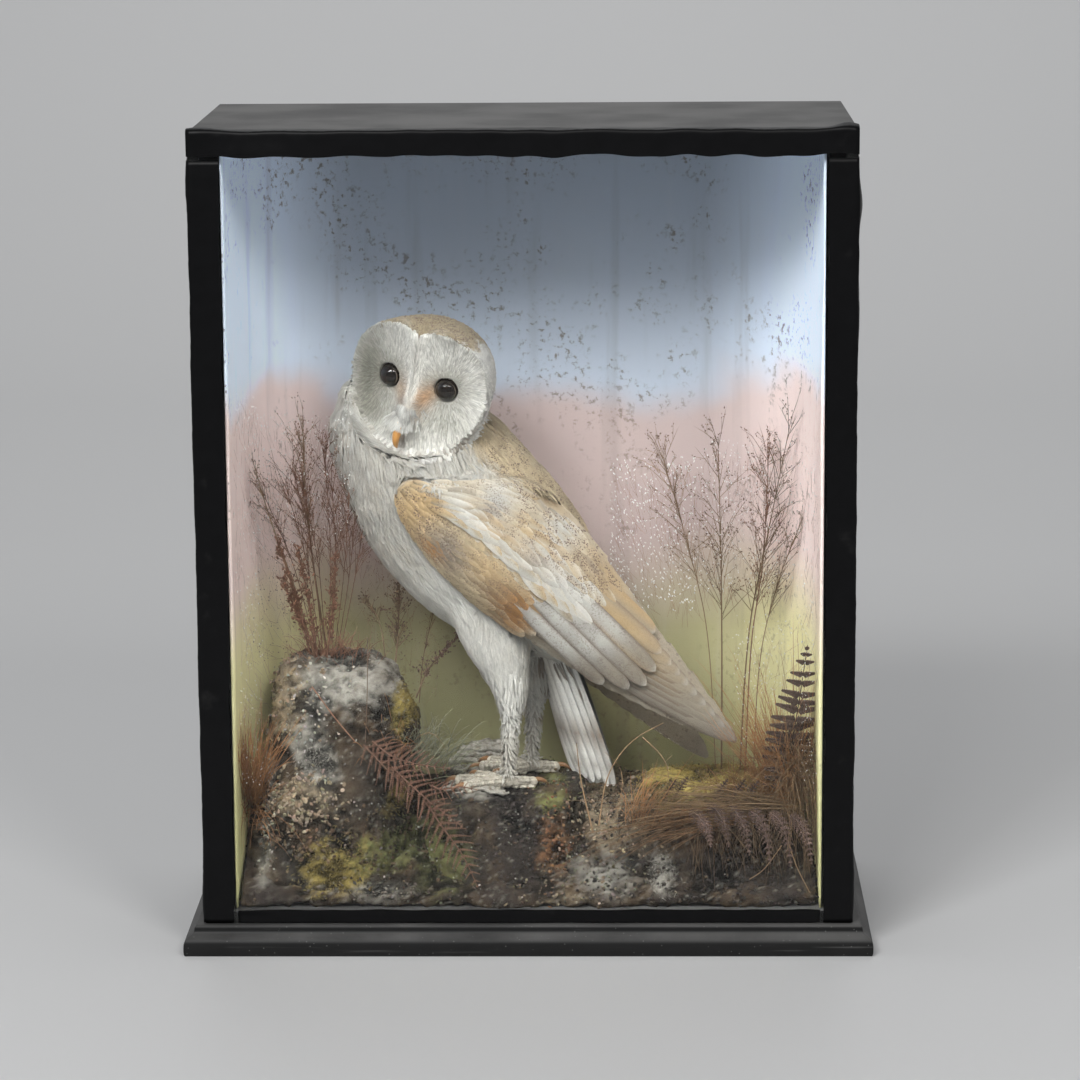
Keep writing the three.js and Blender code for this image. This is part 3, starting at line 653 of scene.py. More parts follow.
def wing_tint(s, n, grain):
    """The wing's chart: colours with the share of dark speckles as a fourth column."""
    edge = -12 + (s - 55) * 0.20
    upper = smoothstep(n + 2 * grain, edge - 4, edge + 2)
    colour = np.tile(PALE_GOLD, (len(s), 1))
    colour = layered(
        colour,
        (smoothstep(s, 15, 40) * (1 - smoothstep(s, 46, 72)), GOLD * 1.12),
        (spot(s, n, 80, -30, 20, 11, 6) * 0.9, ASH * 1.05),
        (spot(s, n, 72, -38, 11, 3.2, 8) * 1.1, RUST * 1.25),
        # The deeper gold oval at s 106 is partly painted shade, and the umber oval at s 120 is painted shade
        # under the edge of the scapular band.
        (spot(s, n, 106, -16, 22, 10, 8) * 0.8, GOLD),
        (spot(s, n, 120, -21, 15, 6, 8) * 0.8, UMBER * 1.5),
        (spot(s, n, 142, -17, 18, 12, 8) * 1.25, RUST * 1.15),
    )
    top = layered(np.tile(CREAM, (len(s), 1)), (spot(s, n, 95, 14, 48, 11, 12), PALE_GOLD * 1.02))
    band = np.exp(-(((n - edge - 7.5) / 8.5) ** 2)) * smoothstep(s, 40, 60)
    top = layered(
        top,
        (spot(s, n, 118, 34, 62, 20, 8) * 0.6, PALE_GOLD),
        (band * 0.9, WHITE * 0.93),
    )
    for ovals, turn, strength, shade in SCAPULAR_OVALS:
        for oval in ovals:
            top = layered(top, (spot(s, n, *oval, turn) * strength, shade))
    colour = colour * (1 - upper[:, None]) + top * upper[:, None]
    quill = smoothstep(s + grain * 4, 150, 172) * smoothstep(-n + 60 + (s - 160) * 0.9, 18, 34)
    colour = layered(
        colour,
        (quill * (1 - upper * (1 - smoothstep(s, 175, 190))), QUILL * 1.12),
        (smoothstep(s, 285, 308) * 0.45, ASH),
    )
    speckle = 0.50 + 0.50 * smoothstep(n, 18, 34) * (1 - smoothstep(s, 150, 200))
    speckle = speckle + 0.5 * spot(s, n, 45, -30, 26, 14) + 0.5 * spot(s, n, 110, 12, 50, 9, 10)
    speckle = speckle - 0.8 * np.clip(band, 0, 1)
    colour = colour * (1 + 0.07 * grain[:, None])
    return np.column_stack([colour, np.clip(speckle, 0, 0.9)])


def body_tint(points, grain):
    """The colours of the body, tail and legs."""
    s, n, _ = body_measures(points)
    z = points[:, 2] / MM
    colour = layered(
        np.tile(WHITE * 0.80, (len(points), 1)),
        (0.35 + 0.25 * grain, CREAM * 0.88),
        (smoothstep(field(points, 0.022, 9.0), 0.0, 0.8) * 0.35, SILVER * 0.9),
        # Painted light: the belly is painted lighter, to lift it out of shade.
        (smoothstep(-n, 24, 52) * smoothstep(s, 60, 90) * 0.7, WHITE * 1.15),
    )
    back = smoothstep(n + grain * 3, 12 + 0.05 * s, 27 + 0.05 * s)
    colour = layered(colour, (back, PALE_GOLD))
    tail = smoothstep(z, 214, 196) * smoothstep(points[:, 0] / MM, 0, 6)
    colour = layered(colour, (tail, SILVER * 1.4))
    for bar in (178, 156, 134, 112):
        colour = layered(colour, (tail * np.exp(-(((z - bar) / 4.2) ** 2)) * 0.8, UMBER * 1.6))
    low_leg = smoothstep(z, 150, 118) * smoothstep(points[:, 0] / MM, 6, 0)
    colour = layered(colour, (low_leg * 0.6, CREAM * 0.72))
    return np.column_stack([colour, np.clip(back * 0.9, 0, 1)])


def head_tint(points, grain):
    """The colours of the face, the ruff around it, the crown and the nape."""
    left, up, forward = face_measures(points)
    share = disc_share(left, up)
    front = smoothstep(forward - face_depth(left, up, np.minimum(share, 1.0)), -9, -4)
    edge = 1.04 - 0.075 * smoothstep(up, 12, 28)
    disc = front * smoothstep(share, edge, edge - 0.06)
    # Around the disc: gold above and behind, white below and in front.
    high = smoothstep(up - 0.60 * np.abs(left) + grain * 3, 6, 17)
    colour = layered(np.tile(WHITE * 0.92, (len(points), 1)), (high, PALE_GOLD * 0.65))
    behind = smoothstep(-forward, 36, 56)
    colour = layered(colour, (behind * smoothstep(up, 2, 24), GOLD))
    speckle = np.clip(high * 1.0 + behind * 0.6, 0, 1)
    rim = np.exp(-(((share - 1.05) / 0.05) ** 2)) * front
    colour = layered(colour, (rim * smoothstep(np.abs(left), 20, 34) * smoothstep(up, 20, 6), WHITE))
    # On the disc: silky white, greyer at the middle, with tan at the inner corners of the eyes.
    angle = np.arctan2(up, left)
    streak = np.sin(angle * 37 + grain * 5) * 0.5 + 0.5
    face = layered(
        np.tile(WHITE * 1.26, (len(points), 1)), (0.38 * streak, SILVER * np.array([1.02, 1.0, 0.93]))
    )
    for side in (1, -1):
        away = np.hypot(left - side * EYE_SIDE, up - EYE_UP)
        face = layered(face, (np.exp(-((away / 13.0) ** 2)) * 0.85, OLIVE))
        inner = spot(left, up, side * 10, -6, 5.2, 10, -side * 24)
        face = layered(face, (inner * (0.85 if side > 0 else 0.5), np.array([0.50, 0.27, 0.12])))
        inner_low = spot(left, up, side * 11, -15, 6, 8)
        face = layered(face, (inner_low * 0.35, ASH * 1.4))
    face = layered(face, (spot(left, up, 0, 16, 2.4, 16) * 0.22, ASH * 1.5))
    # The bowl on the bird's right is darkened with painted shade, and the disc is darker below both eyes.
    face = layered(
        face,
        (spot(left, up, -36, 0, 13, 36) * 0.95, OLIVE * 0.62),
        (spot(left, up, -29, -22, 15, 13) * 0.7, OLIVE * 0.8),
        (spot(left, up, 24, -20, 17, 9) * 0.5, OLIVE),
    )
    crust = smoothstep(np.sin(angle * 46 + grain * 4) + 0.6 * grain, 0.0, 0.8)
    face = layered(
        face, (smoothstep(share, 0.88, 0.99) * smoothstep(up, -16, -32) * (0.15 + 0.5 * crust), UMBER * 1.5)
    )
    colour = colour * (1 - disc[:, None]) + face * disc[:, None]
    return np.column_stack([colour, np.clip(speckle * (1 - disc) + disc * 0.05, 0, 1)])


def markings(points, region):
    """The plumage colour at each point, with its speckle as a fourth column."""
    grain = field(points, 0.006, 3.0)
    tint = body_tint(points, grain)
    s, n, _ = body_measures(points)
    winged = np.isin(region, WINGS)
    tint[winged] = wing_tint(s[winged], n[winged], grain[winged])
    headed = region == HEAD
    tint[headed] = head_tint(points[headed], grain[headed])
    necked = region == NECK
    _, up, forward = face_measures(points[necked])
    nape = smoothstep(-forward + 0.5 * up, 30, 52)
    tint[necked, :3] = layered(tint[necked, :3] * 0.9, (nape, PALE_GOLD))
    tint[necked, 3] = np.maximum(tint[necked, 3] * 0.4, nape * 0.8)
    footed = np.isin(region, FEET)
    tint[footed, :3] = np.array([0.40, 0.37, 0.31]) * (1 + 0.1 * grain[footed, None])
    tint[footed, 3] = 0
    return tint


FRECKLE = (0.145, 0.098, 0.08)
skin_tint = markings(skin_points, skin_region)
soft_tint = averaged(skin_tint, mesh_edges(skin), 2)
paint_mesh(skin, soft_tint * np.array([0.82, 0.81, 0.80, 1.0]))
down_finish = painted_material(
    "owl_down", 900, 0.25, 0.35, 0.0005, FRECKLE, roughness=0.85, specular_ior_level=0.2, sheen_weight=0.25
)
finish_piece(skin, "owl_skin_mesh", down_finish, FLESH)
bpy.data.objects.remove(skin_piece)
bpy.data.objects["owl_skin_mesh"].name = "owl_skin"
print("speckled share of the skin", round(float(skin_tint[:, 3].mean()), 3))

# %% [markdown]
# A feather is a thin closed blade: a few cross-sections along a curve that starts in the skin, with
# a pointed end. Hair-like face and leg feathers have three sides, flat body feathers a shallow roof
# with a keel, and the long quills a wider roof with a raised shaft. One function grows any number
# of them at once from arrays of roots, middles and tips.
# %% Feathers as arrays
LOCK_SECTION = ((-1.0, 0.0), (0.0, 1.0), (1.0, 0.0))
LEAF_SECTION = ((-1.0, -0.4), (0.0, 1.0), (1.0, -0.4), (0.0, -0.2))
QUILL_SECTION = (
    (-1.0, -0.7), (-0.55, 0.1), (-0.05, 0.55), (0.0, 1.0), (0.05, 0.55), (0.55, 0.1), (1.0, -0.7),
    (0.0, -0.45)
)
LOCK_STEPS = ((0.0, 0.5), (0.45, 1.0), (0.8, 0.6))
LEAF_STEPS = ((0.0, 0.45), (0.35, 0.95), (0.7, 1.0), (0.9, 0.68))
QUILL_STEPS = (
    (0.0, 0.5), (0.12, 0.8), (0.25, 0.92), (0.4, 1.0), (0.55, 1.0), (0.7, 1.0), (0.82, 0.97), (0.9, 0.87),
    (0.95, 0.7), (0.98, 0.46)
)
PATCH = 0.003
ROUND = 0.45  # how much a blade's sides turn the light away from its middle
COAT_LIMIT = 190000


def grow(path, up, width, height, section, steps, tint, spots):
    """Blades along quadratic curves. path and up are (count, 3, 3): root, middle and tip.
    tint is a pair of colours (root, tip) or a function of (points, t, across, blade number)."""
    count, sides, rings = len(path), len(section), len(steps)
    across_share = np.array([c[0] for c in section])
    rise_share = np.array([c[1] for c in section])
    t = np.array([s[0] for s in steps] + [1.0])
    wide = np.array([s[1] for s in steps] + [0.0])
    control = 2 * path[:, 1] - (path[:, 0] + path[:, 2]) / 2
    tt = t[None, :, None]
    start, end = path[:, None, 0], path[:, None, 2]
    centre = (1 - tt) ** 2 * start + 2 * tt * (1 - tt) * control[:, None] + tt**2 * end
    tangent = (1 - tt) * (control - path[:, 0])[:, None] + tt * (path[:, 2] - control)[:, None]
    normal = np.where(tt < 0.5, up[:, None, 0] * (1 - 2 * tt) + up[:, None, 1] * 2 * tt,
                      up[:, None, 1] * (2 - 2 * tt) + up[:, None, 2] * (2 * tt - 1))
    across = unit(np.cross(tangent, normal))
    normal = unit(np.cross(across, tangent))
    reach = width[:, None] / 2 * wide
    thick = height[:, None] * (0.35 + 0.65 * wide)
    aside, above = reach[:, :rings, None] * across_share, thick[:, :rings, None] * rise_share
    ring = centre[:, :rings, None] + across[:, :rings, None] * aside[..., None]
    ring = ring + normal[:, :rings, None] * above[..., None]
    points = np.concatenate([ring.reshape(count, rings * sides, 3), centre[:, rings:]], 1)
    along = np.concatenate([np.repeat(t[:rings], sides), [1.0]])
    sideways = np.concatenate([np.tile(across_share, rings), [0.0]])
    last, tip = (rings - 1) * sides, rings * sides
    faces = band_faces(rings, sides)
    faces += [(last + side, last + (side + 1) % sides, tip) for side in range(sides)]
    faces += [(0, side + 1, side) for side in range(1, sides - 1)]
    faces = turned_out(points[0], np.array(faces))
    size = points.shape[1]
    all_faces = (faces[None] + np.arange(count)[:, None, None] * size).reshape(-1, 3)
    if callable(tint):
        number = np.repeat(np.arange(count), size)
        colours = tint(points.reshape(-1, 3), np.tile(along, count), np.tile(sideways, count), number)
    else:
        share = along[None, :, None]
        colours = (tint[0][:, None] * (1 - share) + tint[1][:, None] * share).reshape(-1, tint[0].shape[1])
    uv = spots[:, None] + PATCH * np.stack([sideways / 2, along - 0.5], -1)[None]
    span = np.linalg.norm(path[:, 2] - path[:, 0], axis=1)[:, None]
    blade = np.stack([np.broadcast_to(sideways, (count, size)), along * span], -1)
    # The blades are shaded almost as the skin is, which gives the plumage its silky look.
    ring_index = np.concatenate([np.repeat(np.arange(rings), sides), [rings]])
    soft = normal[:, ring_index] + ROUND * sideways[None, :, None] * across[:, ring_index]
    return (points.reshape(-1, 3), all_faces, colours, uv.reshape(-1, 2), blade.reshape(-1, 2),
            unit(soft).reshape(-1, 3))


def plumage(parts, name, material):
    """Joins grown blades into as few pieces as the size limit allows."""
    groups, held = [[]], 0
    for part in parts:
        if held + len(part[1]) > COAT_LIMIT and groups[-1]:
            groups.append([])
            held = 0
        groups[-1].append(part)
        held += len(part[1])
    for number, group in enumerate(groups, 1):
        points, faces, tint, uv, blade, normals = joined(group)
        mesh = array_mesh(name, points, faces, tint, uv)
        layer = mesh.attributes.new("blade", "FLOAT2", "POINT")
        layer.data.foreach_set("vector", blade.astype(np.float32).ravel())
        finish_piece(mesh, f"{name}_{number}", material)
        mesh.normals_split_custom_set_from_vertices(normals.tolist())
        print(name, number, len(faces), "triangles")


def split(part_count, *arrays):
    """The same arrays in several runs, so that each grown part stays small."""
    cuts = np.array_split(np.arange(len(arrays[0])), part_count)
    return [[a[cut] for a in arrays] for cut in cuts]


BARB_PITCH, BARB_SLANT = 0.00075, 0.003


def feather_finish(name, **inputs):
    """Plumage: tinted, freckled, faintly barbed across each blade, and soft at grazing angles."""
    material, tree, shader = start_material(name, roughness=0.78, specular_ior_level=0.25, **inputs)
    tint = add(tree, "Attribute", attribute_name="tint")
    blade = add(tree, "Attribute", attribute_name="blade")
    colour, _ = mottled(tree, tint.outputs["Color"], 700.0, 0.16)
    colour = freckled(tree, colour, tint, FRECKLE, 760.0, (0.54, 0.30), 160.0, 2.0, 0.40)
    # Barbs leave the shaft on both sides and slant towards the tip.
    parted = add(tree, "SeparateXYZ", vector=blade.outputs["Vector"])
    outward = maths(tree, "ABSOLUTE", parted.outputs["X"])
    slant = maths(tree, "MULTIPLY_ADD", outward, -BARB_SLANT, parted.outputs["Y"])
    barb = maths(tree, "SINE", maths(tree, "MULTIPLY", slant, 2 * math.pi / BARB_PITCH))
    colour = blend_colours(tree, stepped(tree, barb, -1.0, 1.0, 0.0, 0.16), colour, (0.0, 0.0, 0.0))
    tree.links.new(colour, shader.inputs["Base Color"])
    bump(tree, shader, barb, 0.25, 0.00012)
    return material


white_feather = feather_finish("white_feather", sheen_weight=0.2, sheen_roughness=0.5)
buff_feather = feather_finish("buff_feather", sheen_weight=0.12, sheen_roughness=0.5)

# %% [markdown]
# Small feathers cover the skin like thatch. Their roots are scattered over the skin, and each lies
# along a flow that says where the plumage points there: out from the eyes on the face, back over
# the head, down the body and down the legs. Its middle and tip are brought back to the skin and
# lifted a little, so it lies along the body and overlaps the next.
# %% Flow of the small feathers
DOWNWARD = np.array([0.0, 0.0, -1.0])
ROOT_SUNK = 0.35
ROOT_TONE, TIP_TONE = 0.90, 1.06


def face_flow(left, up):
    """Directions on the disc in face measures: out from the nearer eye, and off the middle ridge."""
    side = np.where(left > 0, 1.0, -1.0)
    ray = np.stack([left - side * EYE_SIDE, up - EYE_UP, np.zeros_like(up)], 1)
    ray = unit(ray)
    ridge = np.stack([side * 0.30, np.where(up > -14, 1.0, -1.0), np.zeros_like(up)], 1)
    near_ridge = np.exp(-((left / 8.0) ** 2))[:, None] * 0.92
    low = smoothstep(up, -22, -34)[:, None] * 0.6
    fan = np.stack([left * 0.04, -np.ones_like(up), np.zeros_like(up)], 1)
    flow = ray * (1 - near_ridge) + unit(ridge) * near_ridge
    return unit(flow * (1 - low) + unit(fan) * low)


def flow_at(points, region):
    """The direction in which the plumage lies at each point."""
    flow = np.tile(BODY_DOWN, (len(points), 1))
    s, n, _ = body_measures(points)
    left, up, forward = face_measures(points)
    belly = smoothstep(s, 105, 165) * smoothstep(n, -20, -50)
    flow = flow + belly[:, None] * np.array([0.25, 0, -0.5])
    necked = region == NECK
    flow[necked] = BODY_DOWN * 0.5 + DOWNWARD * 0.55
    headed = region == HEAD
    backward = -FACE_AXES[2] * 1.0 + np.where(up > 0, 0.25, -0.6)[:, None] * FACE_AXES[1]
    backward = backward + DOWNWARD * smoothstep(-forward, 20, 55)[:, None] * 1.6
    flow[headed] = backward[headed]
    legged = np.isin(region, LEGS)
    flow[legged] = DOWNWARD + np.array([0.12, 0, 0])
    footed = np.isin(region, FEET)
    flow[footed] = np.array([-0.8, 0, -0.4])
    tailed = region == TAIL
    flow[tailed] = np.array([0.28, 0, -1.0])
    return unit(flow)


def lay(points, normals, flow, length, lift):
    """Root, middle and tip of each blade, laid along the skin, with the normals there, and
    whether the whole blade lies well on the skin."""
    flow = unit(flow - normals * (flow * normals).sum(1, keepdims=True))
    middle, middle_up = on_skin(points + flow * length[:, None] * 0.5)
    tip, tip_up = on_skin(points + flow * length[:, None])
    sound = (np.linalg.norm(tip - points, axis=1) < length * 1.25) & ((normals * tip_up).sum(1) > 0.1)
    sound &= ((normals * middle_up).sum(1) > 0.2) & (((tip - points) * flow).sum(1) > length * 0.45)
    path = np.stack([
        points - normals * ROOT_SUNK * MM,
        middle + middle_up * lift[:, None] * 0.75,
        tip + tip_up * lift[:, None],
    ], 1)
    return path, np.stack([normals, middle_up, tip_up], 1), sound


def thatch(spacing, keep, length, width, height, lift, wander=0.16, shade=0.12, section=LOCK_SECTION,
           steps=LOCK_STEPS, flow=None, paint=None, over_wings=False):
    """Grows small feathers over part of the skin. Sizes are in millimetres, and each may be a
    function of (points, regions)."""
    points, normals, region, spots = scatter(spacing * MM, keep)
    sizes = []
    for value in (length, width, height, lift):
        value = value(points, region) if callable(value) else np.full(len(points), value)
        sizes.append(value * MM * rng.uniform(0.78, 1.22, len(points)))
    way = flow(points, region) if flow else flow_at(points, region)
    clump = np.stack([field(points, 0.011, 5.0), field(points, 0.011, 9.0), field(points, 0.011, 13.0)], 1)
    way = unit(way + clump * wander + rng.normal(0, wander * 0.6, points.shape))
    path, up, sound = lay(points, normals, way, sizes[0], sizes[3])
    tip_region = nearest_nodes(path[:, 2])
    sound &= over_wings | (np.isin(tip_region, WINGS) == np.isin(region, WINGS))
    tint = (paint or markings)(points, region)
    tone = 1 + shade * (rng.random(len(points)) - 0.5)[:, None] * 2
    root, tip = tint.copy(), tint.copy()
    root[:, :3] *= tone * ROOT_TONE
    tip[:, :3] *= tone * TIP_TONE
    kept = [a[sound] for a in (path, up, sizes[1], sizes[2], root, tip, spots)]
    runs = split(max(1, len(points) * 20 // 60000), *kept)
    return [grow(p, u, w, h, section, steps, (a, b), uv) for p, u, w, h, a, b, uv in runs]


def is_disc(points, inset=0.0):
    """Which points lie on the front of the facial disc."""
    left, up, forward = face_measures(points)
    share = disc_share(left, up)
    return (share < 1 - inset) & (forward > face_depth(left, up, np.minimum(share, 1)) - 7)


def eye_gap(points):
    """Distance in millimetres from the rim of the nearer eye."""
    gaps = [np.linalg.norm(points - eye, axis=1) / MM - EYE_RADIUS for eye in EYES]
    return np.minimum(*gaps)


def disc_way(points, region):
    """Flow over the disc in the row frame."""
    left, up, _ = face_measures(points)
    return face_flow(left, up) @ FACE_AXES

# %% [markdown]
# The facial disc wears the finest feathers: hair-like, short beside the eyes and longer towards the
# rim, and each pointing out from its eye.
# %% Face
face_parts = thatch(
    1.02, lambda p, r: (r == HEAD) & is_disc(p) & (eye_gap(p) > 0.4),
    length=lambda p, r: np.clip(2.6 + eye_gap(p) * 0.28, 2.6, 8.0),
    width=0.75, height=0.22, lift=lambda p, r: np.clip(0.35 + eye_gap(p) * 0.035, 0.35, 1.0),
    wander=0.09, shade=0.26, flow=disc_way,
)
plumage(face_parts, "face_feathers", white_feather)

# %% [markdown]
# The ruff is the stiff frill behind the disc. Short, dense, scale-like feathers stand on the rim,
# bright white at the sides and crusty brown below, and longer soft ones run from it over the head.
# %% Ruff, crown and nape
def ring_share(points):
    """The disc share of points, whatever their depth."""
    left, up, _ = face_measures(points)
    return disc_share(left, up)


def rim_way(points, region):
    """The ruff's feathers point out from the disc and back."""
    left, up, _ = face_measures(points)
    out = np.stack([left, up, np.full_like(up, -14.0)], 1)
    return unit(out) @ FACE_AXES


def on_rim(points, region):
    """The rim all round, in front of the ears."""
    share = ring_share(points)
    rim = (region == HEAD) & (share > 0.93) & (share < 1.18)
    return rim & ~is_disc(points, 0.05) & (face_measures(points)[2] > -26)


def on_low_rim(points, region):
    """The lower half of the rim, where the feathers are coarser."""
    share = ring_share(points)
    _, up, forward = face_measures(points)
    return (region == HEAD) & (share > 0.90) & (share < 1.12) & (up < 4) & (forward > -22)


leafy = {"section": LEAF_SECTION, "steps": LEAF_STEPS, "flow": rim_way}
ruff_parts = thatch(
    1.25, on_rim, length=6.0, width=1.5, height=0.32, lift=1.3, wander=0.08, shade=0.16, **leafy
)
ruff_parts += thatch(
    1.5, on_low_rim, length=7.0, width=2.3, height=0.35, lift=1.9, wander=0.14, shade=0.22, **leafy
)
plumage(ruff_parts, "ruff_feathers", white_feather)
crown_parts = thatch(
    1.9, lambda p, r: (r == HEAD) & ~is_disc(p, -0.04), length=9.0, width=1.9, height=0.3, lift=1.6,
    wander=0.08, shade=0.12
)
plumage(crown_parts, "crown_feathers", buff_feather)

# %% [markdown]
# Longer, softer feathers cover the neck and the body, and grow longer still towards the belly.
# %% Neck, breast, belly and back
neck_parts = thatch(
    1.9, lambda p, r: r == NECK, length=15.0, width=1.8, height=0.32, lift=3.0, wander=0.10, shade=0.12
)
plumage(neck_parts, "neck_feathers", white_feather)
trunk_parts = thatch(
    2.05, lambda p, r: r == TRUNK, length=lambda p, r: 13.0 + 5.0 * smoothstep(body_measures(p)[0], 60, 150),
    width=1.9, height=0.34, lift=2.5, wander=0.11, shade=0.10,
)
plumage(trunk_parts, "body_feathers", white_feather)

# %% [markdown]
# The legs are feathered to the toes. On the thigh the feathers are long and hang in a loose fringe,
# and on the shank they are short, rough and stand out a little. A few bristles cross the toes.
# %% Legs
def leg_length(points, region):
    """Long on the thigh and short on the shank."""
    return 5.0 + 13.0 * smoothstep(points[:, 2] / MM, 150, 205)


leg_parts = thatch(
    1.7, lambda p, r: np.isin(r, LEGS), length=leg_length, width=lambda p, r: 1.0 + 0.05 * leg_length(p, r),
    height=0.34, lift=lambda p, r: 2.1 + 1.1 * smoothstep(p[:, 2] / MM, 170, 130), wander=0.26, shade=0.14,
)
leg_parts += thatch(
    2.6, lambda p, r: np.isin(r, LEGS) & (np.abs(p[:, 2] / MM - 172) < 11), length=17.0, width=1.9,
    height=0.34, lift=3.6, wander=0.16, shade=0.14
)
plumage(leg_parts, "leg_feathers", white_feather)
toe_parts = thatch(
    1.7, lambda p, r: np.isin(r, FEET) & (p[:, 2] / MM > 96), length=2.6, width=0.4, height=0.16, lift=1.3,
    wander=0.3, paint=lambda p, r: np.tile(np.append(CREAM, 0.0), (len(p), 1))
)
plumage(toe_parts, "toe_bristles", white_feather)

# %% [markdown]
# A folded wing is a chart of its own. s runs from the wrist to the tip, and v runs across from the
# lower edge (-1) to the back edge (1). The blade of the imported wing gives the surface, and every
# wing feather is laid on that surface in rows: lesser, median and greater coverts below, the
# scapular group over them along a line, then the secondaries and the primaries.
# %% The wing's surface
WING = np.array([
    (24, -29, 6), (40, -24, 20), (60, -10, 36), (85, -2, 44), (115, 5, 45), (145, 9, 42), (175, 13, 38),
    (205, 18, 32), (235, 25, 26), (265, 32, 19), (290, 38, 12), (306, 42.5, 6), (312, 44, 2),
])
WING_OUT, WING_THICK, WING_CURVE = (54, 19), (6.5, 1.6), 0.0085
DROOP = {1: 0.0, -1: math.radians(5.8)}
DROOP_PIVOT = (40, -20)
NEAR, FAR = 1, -1


def wing_span(s):
    """The middle and half width of the wing at s."""
    return np.interp(s, WING[:, 0], WING[:, 1]), np.interp(s, WING[:, 0], WING[:, 2])


def wing_place(s, n, lift, side, full=True):
    """A point on the outside of a wing, raised by lift millimetres."""
    middle, half = wing_span(s)
    across = np.clip(np.abs(n - middle) / np.maximum(half, 1), 0, 1)
    crown = np.where(s < 100, -15, -15 + (s - 100) * 0.215)
    out = WING_OUT[0] + (WING_OUT[1] - WING_OUT[0]) * np.clip((s - 110) / 200, 0, 1) ** 1.1
    thick = WING_THICK[0] + (WING_THICK[1] - WING_THICK[0]) * np.clip((s - 60) / 220, 0, 1)
    y = out - WING_CURVE * (n - crown) ** 2 + thick * (np.sqrt(1 - across**4) if full else 1.0) + lift
    turn = DROOP[side]
    along, over = s - DROOP_PIVOT[0], n - DROOP_PIVOT[1]
    turned_s = DROOP_PIVOT[0] + along * math.cos(turn) + over * math.sin(turn)
    turned_n = DROOP_PIVOT[1] - along * math.sin(turn) + over * math.cos(turn)
    return body_place(turned_s, turned_n, -side * np.maximum(3, y))


def wing_up(s, n, side):
    """The outward direction of a wing's surface."""
    along = wing_place(s + 1, n, 0, side, False) - wing_place(s - 1, n, 0, side, False)
    over = wing_place(s, n + 1, 0, side, False) - wing_place(s, n - 1, 0, side, False)
    normal = unit(np.cross(along, over))
    return normal * np.where(normal[..., 1:2] * -side > 0, 1, -1)


def wing_spots(points):
    """Unwrap coordinates of the skin under points near a wing."""
    spots = []
    for point in points:
        face = skin_tree.find_nearest(Vector(point))[2]
        spots.append(skin_uv[face].mean(0))
    return np.array(spots)


def wing_blades(rows, side, section, steps, height, paint):
    """Feathers on a wing from rows of (root s, root n, tip s, tip n, width, root lift, tip lift).
    paint(s, n, t, across, number) colours them on the chart."""
    rows = np.asarray(rows, float)
    root_s, root_n, tip_s, tip_n, width, low, high = rows.T
    mid_s, mid_n = (root_s + tip_s) / 2, (root_n + tip_n) / 2
    stations = ((root_s, root_n, low), (mid_s, mid_n, low * 0.35 + high * 0.65), (tip_s, tip_n, high))
    path = np.stack([wing_place(s, n, lift, side) for s, n, lift in stations], 1)
    up = np.stack([wing_up(s, n, side) for s, n, _ in stations], 1)

    def tint(points, t, across, number):
        s = root_s[number] + (tip_s - root_s)[number] * t
        n = root_n[number] + (tip_n - root_n)[number] * t + across * width[number] / 2
        return paint(s, n, t, across, number, points)

    return grow(
        path, up, width * MM, np.full(len(rows), height * MM), section, steps, tint, wing_spots(path[:, 0])
    )

# %% [markdown]
# Covert rows follow the outline of the wing: a feather's tip keeps its root's share of the width, so
# the rows close up towards the tip of the wing as they do on the bird. Each feather has its own
# tone, a paler margin and a darker middle.
# %% Coverts and scapulars
GROUP_EDGE = -0.06  # the scapular group lies over the coverts above this share of the width


def covert_rows(start, stop, pitch, low_v, high_v, length, width, lifts, wobble=1.0):
    """Rows of overlapping feathers between two shares of the width. length and width are functions of s."""
    rows = []
    s = start
    shift = 0
    while s < stop:
        middle, half = wing_span(s)
        step = width(s) * 0.74
        n = middle + low_v * half + (step / 2 if shift else 0)
        while n < middle + high_v * half:
            v = (n - middle) / half
            long = length(s) * rng.uniform(0.9, 1.1)
            root_s = s + rng.uniform(-0.12, 0.12) * pitch(s) * 2
            tip_s = root_s + long
            next_middle, next_half = wing_span(tip_s)
            tip_n = next_middle + v * next_half
            turn = rng.normal(0, wobble)
            rows.append((root_s, n, tip_s, n + (tip_n - n) * 0.9 + turn, width(s) * rng.uniform(0.9, 1.12),
                         lifts[0] + rng.uniform(0, 0.25), lifts[1] + rng.uniform(-0.2, 0.3)))
            n += step
        s += pitch(s)
        shift = 1 - shift
    return rows


def chart_paint(tone_spread, margin, dark_middle):
    """A painter that lays the wing's chart over feathers, each with its own tone and pale margin."""
    tones = rng.normal(0, tone_spread, 20000)

    def paint(s, n, t, across, number, points):
        tint = wing_tint(s, n, field(points, 0.004, 21.0))
        tone = 1 + tones[number % len(tones)]
        edge = np.maximum(
            smoothstep(t, 0.82, 0.99), smoothstep(np.abs(across), 0.6, 1.0) * smoothstep(t, 0.3, 0.8)
        )
        shaft = (1 - smoothstep(np.abs(across), 0.0, 0.5)) * smoothstep(t, 0.15, 0.5)
        tone = tone * (1 + margin * edge - dark_middle * shaft) * (0.80 + 0.20 * smoothstep(t, 0.0, 0.45))
        tint[:, :3] *= tone[:, None]
        return tint

    return paint


def grows(low, high):
    """A size that goes from one value at the wrist to another at s = 170."""
    return lambda s: float(np.interp(s, (30, 170), (low, high)))


